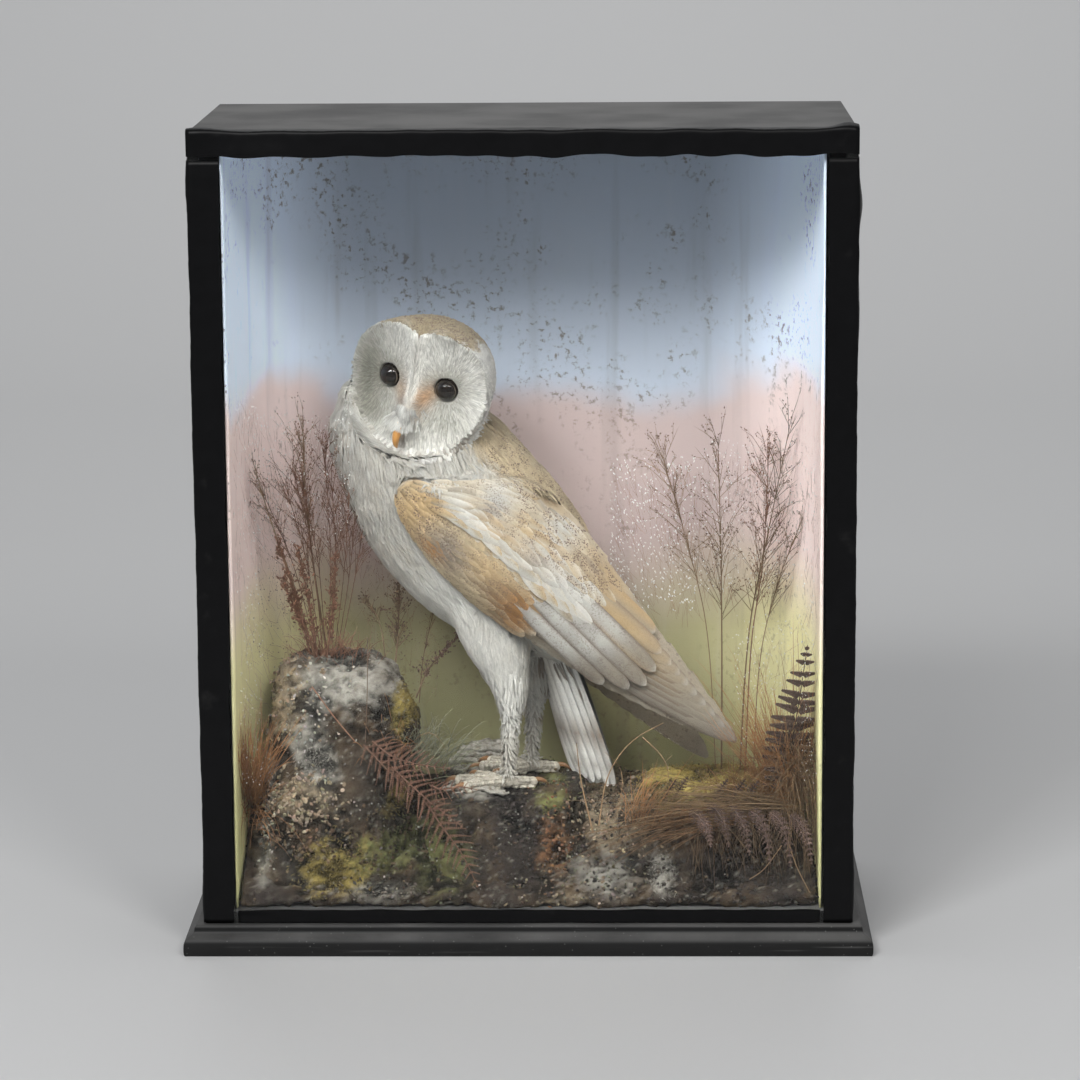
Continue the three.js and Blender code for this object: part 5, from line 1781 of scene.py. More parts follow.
SKY, HIGH_SKY, PINK = (0.48, 0.54, 0.625), (0.42, 0.475, 0.55), (0.525, 0.425, 0.405)
STRAW_GREEN, LOW_GREEN, MOULD = (0.46, 0.43, 0.245), (0.33, 0.315, 0.16), (0.17, 0.13, 0.09)
# Each band fades in between two heights in metres.
SKY_BANDS = ((0.05, 0.17, STRAW_GREEN), (0.165, 0.245, PINK), (0.335, 0.372, SKY), (0.40, 0.54, HIGH_SKY))


def painted_sky():
    """Distemper in bands that bow up at the sides, with painted light on the sides, streaks, washes and spots
    of mould.
    """
    material, tree, shader = start_material("backdrop_paint", roughness=0.92, specular_ior_level=0.15)
    place = object_place(tree)
    parted = add(tree, "SeparateXYZ", vector=place)
    drift = add(tree, "TexNoise", vector=place, scale=9.0, detail=3.0)
    wander = stepped(tree, drift.outputs["Fac"], 0.2, 0.8, -0.020, 0.020)
    bowed = maths(tree, "MULTIPLY", parted.outputs["X"], parted.outputs["X"])
    level = maths(tree, "MULTIPLY_ADD", bowed, -0.55, parted.outputs["Z"])
    height = maths(tree, "ADD", level, wander)
    colour = LOW_GREEN
    for low, high, band in SKY_BANDS:
        colour = blend_colours(tree, stepped(tree, height, low, high), colour, band)
    # Painted light: the sheet's sides are painted brighter than its middle.
    painted_side_light = add(tree, "HueSaturation", value=2.05)
    tree.links.new(colour, painted_side_light.inputs["Color"])
    colour = blend_colours(tree, stepped(tree, bowed, 0.013, 0.037), colour, painted_side_light.outputs[0])
    streaks = add(tree, "Mapping", vector=place, scale=(70.0, 70.0, 5.0))
    washes = add(tree, "TexNoise", vector=streaks.outputs[0], scale=1.0, detail=4.0).outputs["Fac"]
    colour = blend_colours(tree, stepped(tree, washes, 0.55, 0.85, 0.0, 0.20), colour, (0.62, 0.62, 0.62))
    colour = blend_colours(tree, stepped(tree, washes, 0.45, 0.22, 0.0, 0.22), colour, (0.20, 0.17, 0.15))
    areas = add(tree, "TexNoise", vector=place, scale=13.0, detail=6.0, roughness=0.7)
    spots = add(tree, "TexNoise", vector=place, scale=210.0, detail=3.0, roughness=0.7)
    dots = stepped(tree, spots.outputs["Fac"], 0.53, 0.66)
    mould = maths(tree, "MULTIPLY", dots, stepped(tree, areas.outputs["Fac"], 0.46, 0.60))
    mould = maths(tree, "MULTIPLY", mould, stepped(tree, parted.outputs["Z"], 0.16, 0.40, 0.35, 0.75))
    tree.links.new(blend_colours(tree, mould, colour, MOULD), shader.inputs["Base Color"])
    bump(tree, shader, washes, 0.2, 0.0008)
    return material


distemper = painted_sky()
mesh = array_mesh("backdrop_sheet", np.concatenate([front_points, back_points]) * MM, faces)
bm = bmesh.new()
bm.from_mesh(mesh)
bmesh_piece(bm, "backdrop_sheet", distemper, ("backdrop",))
eased(("ceiling_board",), "ceiling_eased", 0.3 * MM, distemper)

# %% [markdown]
# The groundwork is papier-mache rock on a bed of soil. The imported blocks are joined, remeshed
# finely and pushed in and out by noise in two sizes, so that ledges and pits appear. What sinks in
# is painted dark as shade, and what stands out is dusted with chalky white, lichen and moss.
# %% Rocks and soil
STONE_DARK = np.array([0.020, 0.017, 0.014])
STONE_BROWN = np.array([0.10, 0.066, 0.038])
STONE_GREY = np.array([0.10, 0.086, 0.066])
CHALK = np.array([0.33, 0.31, 0.27])
MOSS = np.array([0.145, 0.15, 0.055])
MOSS_GOLD = np.array([0.36, 0.275, 0.085])
CORK = np.array([0.26, 0.205, 0.14])
RUSTY = np.array([0.17, 0.085, 0.04])
SOIL = np.array([0.032, 0.025, 0.021])
# Where each growth lies on the front of the groundwork: x, z, half sizes, colour, strength.
GROWTHS = (
    (-138, 170, 34, 20, CHALK, 1.0), (-152, 142, 14, 18, CHALK, 0.9), (-112, 172, 26, 16, CHALK, 0.9),
    (-144, 119, 15, 12, CHALK * 1.1, 1.1), (-182, 104, 8, 34, CHALK * 0.95, 1.0),
    (-180, 62, 7, 22, CHALK * 0.8, 0.9), (-168, 160, 16, 24, CORK * 1.35, 1.0), (-154, 97, 22, 13, CORK, 1.0),
    (-132, 53, 24, 17, MOSS_GOLD, 1.2), (-86, 150, 9, 16, MOSS_GOLD * 0.9, 1.2),
    (-87, 92, 14, 10, MOSS_GOLD * 0.6, 0.9), (-95, 60, 30, 14, MOSS, 0.8),
    (-100, 36, 26, 7, CHALK * 0.7, 0.9), (-60, 55, 22, 20, MOSS * 1.1, 0.7),
    (-8, 68, 26, 32, SOIL * 0.9, 1.4), (18, 64, 11, 20, RUSTY, 1.1), (15, 88, 12, 6, MOSS * 1.3, 1.0),
    (58, 74, 26, 16, CORK * 0.95, 1.0), (52, 46, 26, 12, CHALK * 0.75, 0.9), (91, 50, 9, 12, CHALK, 1.1),
    (30, 34, 24, 6, CORK * 0.8, 0.8), (96, 93, 26, 8, MOSS_GOLD, 1.3),
    (140, 96, 34, 9, MOSS_GOLD * 0.85, 1.1), (150, 56, 48, 22, SOIL, 1.0), (-38, 97, 22, 7, CHALK * 0.9, 1.0),
    (120, 70, 30, 10, RUSTY * 0.5, 0.5)
)
GLASS_INSIDE, SHEET_INSIDE = -100.6, 195.5


def rock_mesh(nodes, name, voxel, coarse, fine, seed):
    """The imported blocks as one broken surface, with how far each point stands out."""
    mesh = voxel_mesh(merged_copy(nodes, 0.3 * MM), name, voxel * MM)
    edges = mesh_edges(mesh)
    points = averaged(mesh_points(mesh), edges, 6, 0.5)
    move_points(mesh, points)
    normals = unit(averaged(mesh_normals(mesh), edges, 3))
    big = rough_field(points, 0.032, seed)
    ledges = np.abs(rough_field(points * np.array([1, 1, 2.2]), 0.016, seed + 5)) - 0.25
    small = rough_field(points, 0.0055, seed + 9)
    relief = coarse * (big * 1.1 - ledges * 0.9) + fine * small
    points = points + normals * relief[:, None] * MM
    points[:, 1] = np.maximum(points[:, 1], GLASS_INSIDE * MM)
    points[:, 0] = np.clip(points[:, 0], -SHEET_INSIDE * MM, SHEET_INSIDE * MM)
    move_points(mesh, points)
    return mesh, points, relief / (coarse + fine)


def ground_tint(points, relief, base, seed):
    """Stone colours: painted shade in the pits, brown and grey outside, with growths in soft patches."""
    x, z = points[:, 0] / MM, points[:, 2] / MM
    broad = field(points, 0.024, seed)
    fine = field(points, 0.0042, seed + 3)
    colour = np.tile(base, (len(points), 1))
    colour = layered(
        colour,
        (0.4 + 0.8 * broad, STONE_BROWN * 0.7),
        (0.35 * smoothstep(fine, 0.0, 0.7), STONE_GREY),
    )
    rag = field(points, 0.009, seed + 17) * 0.35 + fine * 0.30
    for at_x, at_z, wide, high, shade, strength in GROWTHS:
        away = np.hypot((x - at_x) / wide, (z - at_z) / high) + rag
        colour = layered(colour, (strength * smoothstep(away, 1.15, 0.6) * (0.75 + 0.5 * fine), shade))
    # Painted shade: the pits are darkened by how far they sink in.
    top = smoothstep(relief, -0.50, 0.20)[:, None]
    colour = colour * (0.13 + 0.87 * top)
    fleck = smoothstep(field(points, 0.0022, seed + 29), 0.66, 0.88) * 0.4
    return layered(colour, (fleck, CHALK * 0.8))


stone_finish = painted_material("stone", 520, 0.35, 0.7, 0.0011, roughness=0.93, specular_ior_level=0.2)
mesh, points, relief = rock_mesh(("perch_rock", "tall_rock"), "rockwork", 2.1, 3.6, 1.7, 1.0)
paint_mesh(mesh, ground_tint(points, relief, STONE_DARK * 1.6, 2.0))
finish_piece(mesh, "rockwork", stone_finish, ("perch_rock", "tall_rock"))
ground_points, ground_normals = [points], [mesh_normals(mesh)]
mesh, points, relief = rock_mesh(("ledge_rock", "ground_bed"), "soil_bed", 2.6, 3.4, 1.8, 6.0)
paint_mesh(mesh, ground_tint(points, relief, SOIL * 1.2, 7.0))
finish_piece(mesh, "soil_bed", stone_finish, ("ledge_rock", "ground_bed"))
ground_points.append(points)
ground_normals.append(mesh_normals(mesh))
ground_points, ground_normals = np.concatenate(ground_points), np.concatenate(ground_normals)
print("ground", len(ground_points), "points")

# %% [markdown]
# Loose matter covers the rock: cork chips, crumbs of lichen, grit, and white tufts of dried moss.
# Crumbs are small faceted lumps, and moss is short pointed blades, both set on the surface where
# the same soft patches call for them.
# %% Crumbs, lichen and moss
def ground_spots(at_x, at_z, wide, high, count):
    """Random places on the groundwork near a patch, with their normals."""
    x, z = ground_points[:, 0] / MM, ground_points[:, 2] / MM
    near = np.hypot((x - at_x) / wide, (z - at_z) / high) < 1 + 0.35 * rng.normal(0, 1, len(x))
    near &= (ground_normals[:, 1] < 0.25) | (ground_normals[:, 2] > 0.4)
    picked = np.flatnonzero(near & (ground_normals[:, 2] > -0.5))
    if len(picked) == 0:
        picked = np.argsort(np.hypot(x - at_x, z - at_z))[:20]
    chosen = rng.choice(picked, count)
    places = ground_points[chosen] + rng.normal(0, 0.8 * MM, (count, 3))
    return places, unit(ground_normals[chosen])


def crumbs(at_x, at_z, wide, high, count, shade, size, flat=0.45):
    """A patch of angular crumbs."""
    places, normals = ground_spots(at_x, at_z, wide, high, count)
    hint = rng.normal(0, 1, (count, 3))
    side = unit(np.cross(normals, hint))
    tilt = unit(normals + rng.normal(0, 0.35, (count, 3)))
    side = unit(np.cross(tilt, side))
    axes = np.stack([side, np.cross(tilt, side), tilt], 1)
    sizes = size * MM * rng.uniform(0.45, 1.3, (count, 1)) * np.array([1.0, 0.7, flat])
    sizes = sizes * rng.uniform(0.7, 1.3, (count, 3))
    points, faces, ball = beads(places + normals * size * 0.2 * MM, axes, sizes, 1)
    points = points + rng.normal(0, 0.13 * size * MM, points.shape)
    tone = np.repeat(np.exp(rng.normal(0, 0.28, count)), ball)
    hue = np.repeat(rng.normal(0, 0.06, (count, 3)), ball, axis=0)
    return points, faces, np.clip(shade * tone[:, None] * (1 + hue), 0.01, 0.8)


# x, z, half sizes of the patch, how many, colour and size.
CRUMB_ROWS = (
    (-156, 97, 24, 15, 420, CORK * 0.95, 1.7), (-166, 160, 18, 26, 260, CORK * 0.8, 1.6),
    (-150, 72, 26, 16, 220, STONE_BROWN, 1.7), (-140, 172, 26, 12, 160, CHALK * 0.8, 1.3),
    (-152, 142, 14, 18, 120, CHALK * 0.85, 1.2), (-182, 100, 7, 40, 200, CHALK * 0.8, 1.5),
    (58, 76, 26, 17, 760, CORK * 0.95, 1.5), (50, 48, 28, 14, 420, STONE_GREY * 1.2, 1.4),
    (62, 58, 24, 20, 260, SOIL, 1.6), (30, 36, 40, 8, 360, CORK * 0.6, 1.3),
    (18, 64, 12, 22, 240, RUSTY, 1.4), (-8, 66, 26, 34, 900, SOIL * 1.1, 1.3),
    (-8, 66, 26, 34, 120, STONE_GREY, 0.9), (-100, 38, 40, 9, 320, STONE_GREY * 1.1, 1.4),
    (-100, 66, 40, 24, 420, STONE_BROWN * 0.5, 1.6), (150, 50, 50, 26, 900, SOIL * 0.9, 1.5),
    (0, 33, 196, 6, 900, SOIL * 1.5, 1.2), (40, 60, 150, 30, 260, CHALK * 0.7, 0.8),
    (-90, 90, 90, 60, 420, CHALK * 0.7, 0.9), (0, 60, 195, 40, 700, STONE_BROWN * 0.7, 1.4, 0.6),
)
points, faces, tint = joined([crumbs(*row) for row in CRUMB_ROWS])
grit_finish = painted_material("grit", 800, 0.2, 0.3, 0.0004, roughness=0.9)
finish_piece(array_mesh("crumbs", points, faces, tint), "crumbs", grit_finish, smooth=False)
print("crumbs", len(faces), "triangles")


def blades(places, ways, length, width, sag, tint_root, tint_tip, steps=LOCK_STEPS, height=0.25):
    """Free blades from places along ways, bending down by sag times their length."""
    count = len(places)
    length, width = np.broadcast_to(length, count) * MM, np.broadcast_to(width, count) * MM
    droop = np.broadcast_to(sag, count) * length
    tip = places + ways * length[:, None] + DOWNWARD * droop[:, None]
    middle = places + ways * (length * 0.55)[:, None] + DOWNWARD * (droop * 0.12)[:, None]
    path = np.stack([places, middle, tip], 1)
    path[..., 1] = np.maximum(path[..., 1], (GLASS_INSIDE + 0.3) * MM)
    path[..., 0] = np.clip(path[..., 0], -SHEET_INSIDE * MM, SHEET_INSIDE * MM)
    side = unit(np.cross(ways, rng.normal(0, 1, (count, 3))))
    up = np.repeat(unit(np.cross(ways, side))[:, None], 3, 1)
    root, end = np.broadcast_to(tint_root, (count, 3)), np.broadcast_to(tint_tip, (count, 3))
    tone = np.exp(rng.normal(0, 0.16, count))[:, None]
    tints = (root * tone, end * tone)
    return grow(path, up, width, width * height, LOCK_SECTION, steps, tints, np.zeros((count, 2)))[:3]


def moss_patch(at_x, at_z, wide, high, count, shade, length, width=0.5):
    """Moss or lichen as short blades that stand off the rock every way."""
    places, normals = ground_spots(at_x, at_z, wide, high, count)
    ways = unit(normals + rng.normal(0, 0.55, (count, 3)))
    length = length * rng.uniform(0.5, 1.3, count)
    return blades(places - normals * 0.5 * MM, ways, length, width, 0.1, shade * 0.5, shade * 1.2)


# x, z, half sizes of the patch, how many, colour, length and width.
MOSS_ROWS = (
    (-132, 54, 22, 15, 1860, MOSS_GOLD * 0.72, 3.2), (-86, 150, 9, 16, 434, MOSS_GOLD * 0.85, 2.6),
    (-86, 92, 14, 9, 434, MOSS_GOLD * 0.6, 2.8), (-66, 58, 24, 22, 1178, MOSS * 1.1, 2.8),
    (-105, 64, 22, 14, 558, MOSS * 0.9, 2.8), (15, 88, 13, 7, 310, MOSS * 1.4, 2.6),
    (98, 93, 26, 6, 930, MOSS_GOLD, 2.6), (142, 95, 36, 7, 992, MOSS_GOLD * 0.8, 2.6),
    (40, 44, 30, 10, 310, MOSS * 1.2, 2.4), (-144, 120, 13, 10, 558, CHALK * 1.15, 3.6, 0.35),
    (91, 50, 8, 11, 372, CHALK * 1.1, 3.8, 0.35), (44, 80, 9, 6, 217, CHALK, 3.2, 0.35),
    (-104, 40, 22, 6, 310, CHALK * 0.8, 2.6, 0.4), (12, 66, 12, 16, 310, RUSTY, 2.4),
    (-115, 165, 24, 14, 434, CHALK * 0.95, 2.2, 0.5), (-60, 82, 20, 12, 310, MOSS * 1.3, 2.6),
)
points, faces, tint = joined([moss_patch(*row) for row in MOSS_ROWS])
moss_finish = painted_material("moss", 900, 0.2, 0.1, 0.0003, roughness=0.9)
finish_piece(array_mesh("moss", points, faces, tint), "moss", moss_finish)
print("moss", len(faces), "triangles")

# %% [markdown]
# The white slab behind the toes is bark crusted with lichen: long furrowed ridges, laid side by
# side towards the feet and piled against each other, each a swept strip with a ragged line. Lower,
# thinner ones carry on from it under the toes.
# %% Lichen-crusted bark
def bark_ridge(x, y, z, reach, girths, uneven, rough, bend, turns, phase, broad):
    """One furrowed ridge from x, with heights that vary by uneven and girths by rough."""
    stations = []
    for share in np.linspace(0, 1, 9):
        arch = math.sin(math.pi * share)
        at_z = z + 1.6 * arch + rng.uniform(-uneven, uneven)
        thick = (girths[0] + girths[1] * arch) * rng.uniform(*rough)
        stations.append(
            (x + reach * share, y + bend * math.sin(turns * share + phase), at_z, thick * broad, thick)
        )
    return swept(stations, 12, (0, 1, 0), 44)


bark_parts = []
for k in range(14):
    row, pile = k % 5, k // 5
    start_x = -60 + 1.8 * row + 4.0 * pile + rng.uniform(-2, 2)
    bark_parts.append(bark_ridge(start_x, 43.5 + 2.9 * row + 0.8 * pile, 94.6 + 4.4 * pile, 42 - 5.0 * pile,
                                 (1.9, 1.0), 0.8, (0.8, 1.25), 1.4, 3.0, k, 1.1))
for k in range(12):
    start_x = -60 + 1.6 * abs(k - 5) + rng.uniform(-4, 4)
    bark_parts.append(
        bark_ridge(start_x, -36 + 3.1 * k, 93.0, 36, (0.8, 0.7), 0.9, (0.7, 1.4), 1.8, 4.0, k, 1.2)
    )
points, faces, along = joined(bark_parts)
points = points + (rough_field(points, 0.0035, 3.0) * 0.9 * MM)[:, None] * np.array([0.2, 0.5, 1.0])
bark_grain = field(points, 0.0028, 8.0)
bark_tint = layered(
    np.tile(CHALK * 0.98, (len(points), 1)), (smoothstep(bark_grain, 0.1, 0.8) * 0.7, STONE_BROWN)
)
finish_piece(
    array_mesh("lichen_bark", points, faces, bark_tint), "lichen_bark", stone_finish,
    ("lichen_slab",)
)
print("bark", len(bark_parts), "ridges")

# %% [markdown]
# Dried plants dress the rock. A stem is a thin swept tube, a side twig or a grass blade is a free
# blade, and a seed is a bead. A seed spray is a stem whose twigs leave it at a narrow angle and
# carry seeds along their outer half.
# %% Stems, twigs and seeds
DRY_STEM = np.array([0.22, 0.145, 0.085])
DRY_DARK = np.array([0.10, 0.065, 0.045])
REDBROWN = np.array([0.30, 0.15, 0.095])
STRAW = np.array([0.225, 0.145, 0.08])
ORANGE_GRASS = np.array([0.34, 0.165, 0.07])
GREY_GRASS = np.array([0.26, 0.26, 0.18])
BRACKEN = np.array([0.20, 0.105, 0.07])
DARK_FERN = np.array([0.085, 0.055, 0.045])
SEED_DARK = np.array([0.115, 0.07, 0.05])
# Near white: the pale seeds' own colour with painted glint.
SEED_WHITE_AND_GLINT = np.array([0.82, 0.81, 0.78])
THREAD_STEPS = ((0.0, 1.0), (0.5, 0.8))


def stem(points, thick, thin, shade, rings=26):
    """A tapering round stem through points in millimetres."""
    line = curve_points(points, 9)
    radii = np.linspace(thick, thin, len(line))
    stations = [(*p, r, r) for p, r in zip(line, radii)]
    corners, faces, along = swept(stations, 6, (0.12, 1, 0.05), rings)
    corners[:, 1] = np.maximum(corners[:, 1], (GLASS_INSIDE + 0.3) * MM)
    return corners, faces, np.tile(shade, (len(corners), 1)) * (1 + 0.15 * field(corners, 0.01))[:, None]


def seeds(places, ways, size, shade, spread=0.25):
    """Tiny seeds, longer than wide, pointing along their twigs."""
    count = len(places)
    side = unit(np.cross(ways, rng.normal(0, 1, (count, 3))))
    axes = np.stack([ways, side, np.cross(ways, side)], 1)
    sizes = size * MM * rng.uniform(0.7, 1.3, (count, 1)) * np.array([1.0, 0.5, 0.4])
    points, faces, ball = beads(places, axes, sizes, 1)
    tone = np.repeat(np.exp(rng.normal(0, spread, count)), ball)
    return points, faces, np.clip(shade * tone[:, None], 0.01, 0.85)


def threads_from(places, ways, length, width, sag, tint_root, tint_tip):
    """Hair-thin twigs, as thick as they are wide."""
    return blades(places, ways, length, width, sag, tint_root, tint_tip, steps=THREAD_STEPS, height=0.8)


def spray(points, start, twigs, length, spread, seeds_each, seed_size, shade, seed_shade, thick=0.8):
    """A stem with side twigs that branch once and carry seeds."""
    line = curve_points(points, 60)
    tangents = unit(np.gradient(line, axis=0))
    parts = [stem(points, thick, 0.22, shade)]
    share = rng.uniform(start, 1.0, twigs)
    at = (share * 59).astype(int)
    roots = line[at] * MM
    ways = unit(tangents[at] + rng.normal(0, spread, (twigs, 3)) * np.array([1.0, 0.35, 0.6]))
    reach = length * rng.uniform(0.5, 1.2, twigs) * (1.15 - 0.5 * share)
    parts.append(threads_from(roots, ways, reach, 0.42, 0.06, shade, shade * 1.1))
    split_at = rng.uniform(0.35, 0.8, (twigs, 2))
    for column in range(2):
        second = roots + ways * (reach * split_at[:, column])[:, None] * MM
        turned = unit(ways + rng.normal(0, 0.45, (twigs, 3)) * np.array([1.0, 0.4, 0.8]))
        small = reach * rng.uniform(0.25, 0.5, twigs)
        parts.append(threads_from(second, turned, small, 0.28, 0.03, shade, shade * 1.1))
        for _ in range(seeds_each):
            along = rng.uniform(0.2, 1.05, twigs)
            spot_at = second + turned * (small * along)[:, None] * MM + rng.normal(0, 0.8 * MM, (twigs, 3))
            parts.append(seeds(spot_at, unit(turned + rng.normal(0, 0.5, (twigs, 3))), seed_size, seed_shade))
    return parts


plant_finish = painted_material("dry_plant", 700, 0.2, 0.15, 0.0003, roughness=0.75, specular_ior_level=0.3)


def plant_piece(parts, name, nodes=()):
    """One piece from plant parts. Strands that would pass through the sheet or glass are drawn in."""
    points, faces, tint = joined(parts)
    x, y = points[:, 0] / MM, points[:, 1] / MM
    aside, back = np.abs(x) / (SHEET_HALF - 3), np.maximum(y - SHEET_FRONT, 0) / (SHEET_DEPTH - 4)
    over = np.cbrt(aside**3 + back**3)
    pull = np.where(over > 1, 1 / over, 1.0)
    points[:, 0] *= pull
    points[:, 1] = (SHEET_FRONT + (y - SHEET_FRONT) * np.where(y > SHEET_FRONT, pull, 1.0)) * MM
    points[:, 1] = np.maximum(points[:, 1], GLASS_INSIDE * MM)
    points[:, 2] = np.clip(points[:, 2], 31 * MM, 541 * MM)
    finish_piece(array_mesh(name, points, faces, tint), name, plant_finish, nodes)
    print(name, len(faces), "triangles")

# %% [markdown]
# Three groups of sprays stand behind the bird. Each row gives a stem's line in millimetres, where
# its twigs start, how many there are and how long, how far they spread, the seeds on each and
# their size, the two colours and the stem's thickness.
# %% Seed sprays
def sprays(*rows):
    """The parts of several seed sprays."""
    parts = []
    for row in rows:
        parts += spray(*row)
    return parts


left_parts = sprays(
    (((-148, -10, 180), (-162, -16, 235), (-177, -24, 285), (-187, -30, 325)), 0.75, 10, 14, 0.2, 1, 0.9,
     DRY_STEM, SEED_DARK, 0.9),
    (((-140, -4, 180), (-148, -8, 240), (-153, -12, 300), (-154, -14, 350)), 0.45, 60, 34, 0.32, 2, 0.75,
     DRY_STEM * 0.9, REDBROWN * 0.7, 0.9)
)
for k, (x, top_x, top_z) in enumerate(
    ((-150, -172, 268), (-146, -158, 262), (-141, -132, 258), (-144, -168, 240))
):
    stalk_line = (
        (x, -12 - 2 * k, 178), ((x + top_x) / 2 + 1, -16 - 2 * k, (178 + top_z) / 2),
        (top_x, -22 - 3 * k, top_z)
    )
    left_parts += spray(stalk_line, 0.25, 90, 10, 0.34, 1, 1.2, REDBROWN * 0.6, REDBROWN * 0.6, 0.9)
for k in range(9):
    root = (-146 + 1.6 * k, -8, 178)
    crest = (-180 + 9.5 * k + rng.uniform(-4, 4), -20 + 3 * (k % 3), 318 + rng.uniform(-14, 20))
    middle = tuple((a + b) / 2 + s for a, b, s in zip(root, crest, (3, 0, 6)))
    left_parts += spray(
        (root, middle, crest), 0.42, 26, 36, 0.36, 3, 0.6, REDBROWN * 0.55, REDBROWN * 0.5, 0.35
    )
plant_piece(left_parts, "left_sprays", ("stalk_left_1", "stalk_left_2"))

middle_parts = sprays(
    (((-96, 6, 160), (-92, 8, 196), (-91, 8, 226)), 0.35, 56, 17, 0.5, 2, 0.85, DRY_STEM * 0.8, SEED_DARK,
     0.8),
    (((-100, 8, 166), (-104, 10, 200), (-113, 10, 218)), 0.5, 22, 15, 0.5, 1, 0.9, DRY_STEM * 0.8,
     SEED_DARK, 0.5),
    (((-80, 8, 150), (-70, 8, 172), (-52, 8, 192)), 0.3, 40, 9, 0.3, 2, 1.1, DRY_STEM * 0.7,
     SEED_DARK * 1.2, 0.7),
    (((-78, 10, 146), (-74, 12, 182), (-63, 12, 226)), 0.5, 26, 14, 0.35, 1, 0.6, DRY_STEM * 0.9, SEED_DARK,
     0.4)
)
plant_piece(middle_parts, "middle_sprays", ("stalk_left_3",))
right_parts = sprays(
    (((134, 28, 76), (134, 26, 180), (133, 24, 250), (131, 22, 330)), 0.42, 46, 42, 0.42, 3, 0.75,
     DRY_STEM * 0.8, SEED_DARK * 1.2, 0.75),
    (((146, 16, 76), (152, 14, 190), (166, 8, 270), (181, 2, 350)), 0.40, 50, 46, 0.50, 3, 0.75,
     DRY_STEM * 0.8, SEED_DARK * 1.3, 0.75),
    (((150, 18, 76), (154, 20, 180), (163, 22, 250), (166, 26, 318)), 0.45, 46, 42, 0.45, 3, 0.75,
     REDBROWN * 0.7, REDBROWN * 0.6, 0.6),
    (((130, 30, 90), (124, 32, 190), (108, 30, 262), (92, 30, 318)), 0.50, 44, 38, 0.42, 3, 0.65, DRY_STEM,
     SEED_DARK * 1.4, 0.4),
    (((156, 20, 80), (160, 18, 170), (172, 10, 230), (188, 0, 276)), 0.45, 34, 32, 0.45, 2, 0.75, DRY_STEM,
     SEED_DARK * 1.2, 0.5)
)
plant_piece(right_parts, "right_sprays", ("stalk_right_1", "stalk_right_2"))

# %% [markdown]
# Very fine bent grass fills the air behind the bird: hair-thin threads with pale seeds, painted near
# white as their own colour and as painted glint, that read as white sparks against the pink.
# %% Fine pale grass
def haze(x_range, z_range, y_range, count, root, size, shade):
    """Pale seeds in a cloud, each on a thread that leans away from the root."""
    places = np.stack(
        [rng.uniform(*x_range, count), rng.uniform(*y_range, count), rng.uniform(*z_range, count)], 1
    )
    swing = (places - np.array(root)) * np.array([1.0, 0.4, 1.0])
    ways = unit(swing + rng.normal(0, 30, (count, 3)))
    parts = [seeds(places * MM, unit(ways + rng.normal(0, 0.5, (count, 3))), size, shade, 0.2)]
    threads = count // 2
    chosen = rng.choice(count, threads, replace=False)
    length = rng.uniform(8, 20, threads)
    starts = (places[chosen] - ways[chosen] * length[:, None]) * MM
    parts.append(threads_from(starts, ways[chosen], length, 0.16, 0.02, REDBROWN * 0.9, REDBROWN * 0.9))
    return parts


HAZES = (
    ((56, 116), (206, 312), (28, 62), 620, (118, 30, 120), 0.85, SEED_WHITE_AND_GLINT),
    ((-196, -120), (262, 356), (-40, 4), 520, (-146, -10, 180), 0.6, SEED_WHITE_AND_GLINT),
    ((116, 196), (226, 330), (0, 40), 560, (146, 18, 120), 0.65, SEED_WHITE_AND_GLINT),
    ((140, 196), (120, 210), (-30, 20), 280, (160, 0, 90), 0.6, SEED_WHITE_AND_GLINT),
    ((-196, -180), (110, 380), (-92, -50), 300, (-170, -60, 100), 0.55, SEED_WHITE_AND_GLINT),
    ((184, 196), (110, 330), (-92, -50), 180, (180, -60, 100), 0.55, SEED_WHITE_AND_GLINT),
    ((-196, -150), (180, 262), (-40, 10), 180, (-150, -10, 150), 0.6, SEED_DARK * 1.6),
    ((-120, -60), (150, 250), (6, 50), 200, (-95, 10, 150), 0.6, SEED_DARK * 1.6),
)
haze_parts = [part for row in HAZES for part in haze(*row)]
plant_piece(haze_parts, "fine_grass")

# %% [markdown]
# Grass grows in tufts: long thin blades from one foot, spreading like a fan and bending over. Loose
# straws lie across the right ledge, and two long ones arch in front of the tail.
# %% Grass and straw
GRASS_STEPS = ((0.0, 0.9), (0.2, 1.0), (0.4, 0.95), (0.6, 0.8), (0.8, 0.55))


def grass(foot, spread, count, aim, fan, length, width, sag, root_shade, tip_shade):
    """A tuft of grass blades from a round foot, aimed one way with some fan."""
    places = (np.array(foot) + rng.normal(0, 1, (count, 3)) * np.array(spread)) * MM
    ways = unit(np.array(aim, float) + rng.normal(0, 1, (count, 3)) * np.array(fan))
    long = length * np.exp(rng.normal(0, 0.25, count))
    bend = rng.uniform(0.2, 1.8, count) * sag
    return blades(places, ways, long, width, bend, root_shade, tip_shade, steps=GRASS_STEPS, height=0.5)


def tufts(rows):
    """A tuft of grass for each row."""
    return [grass(*row) for row in rows]


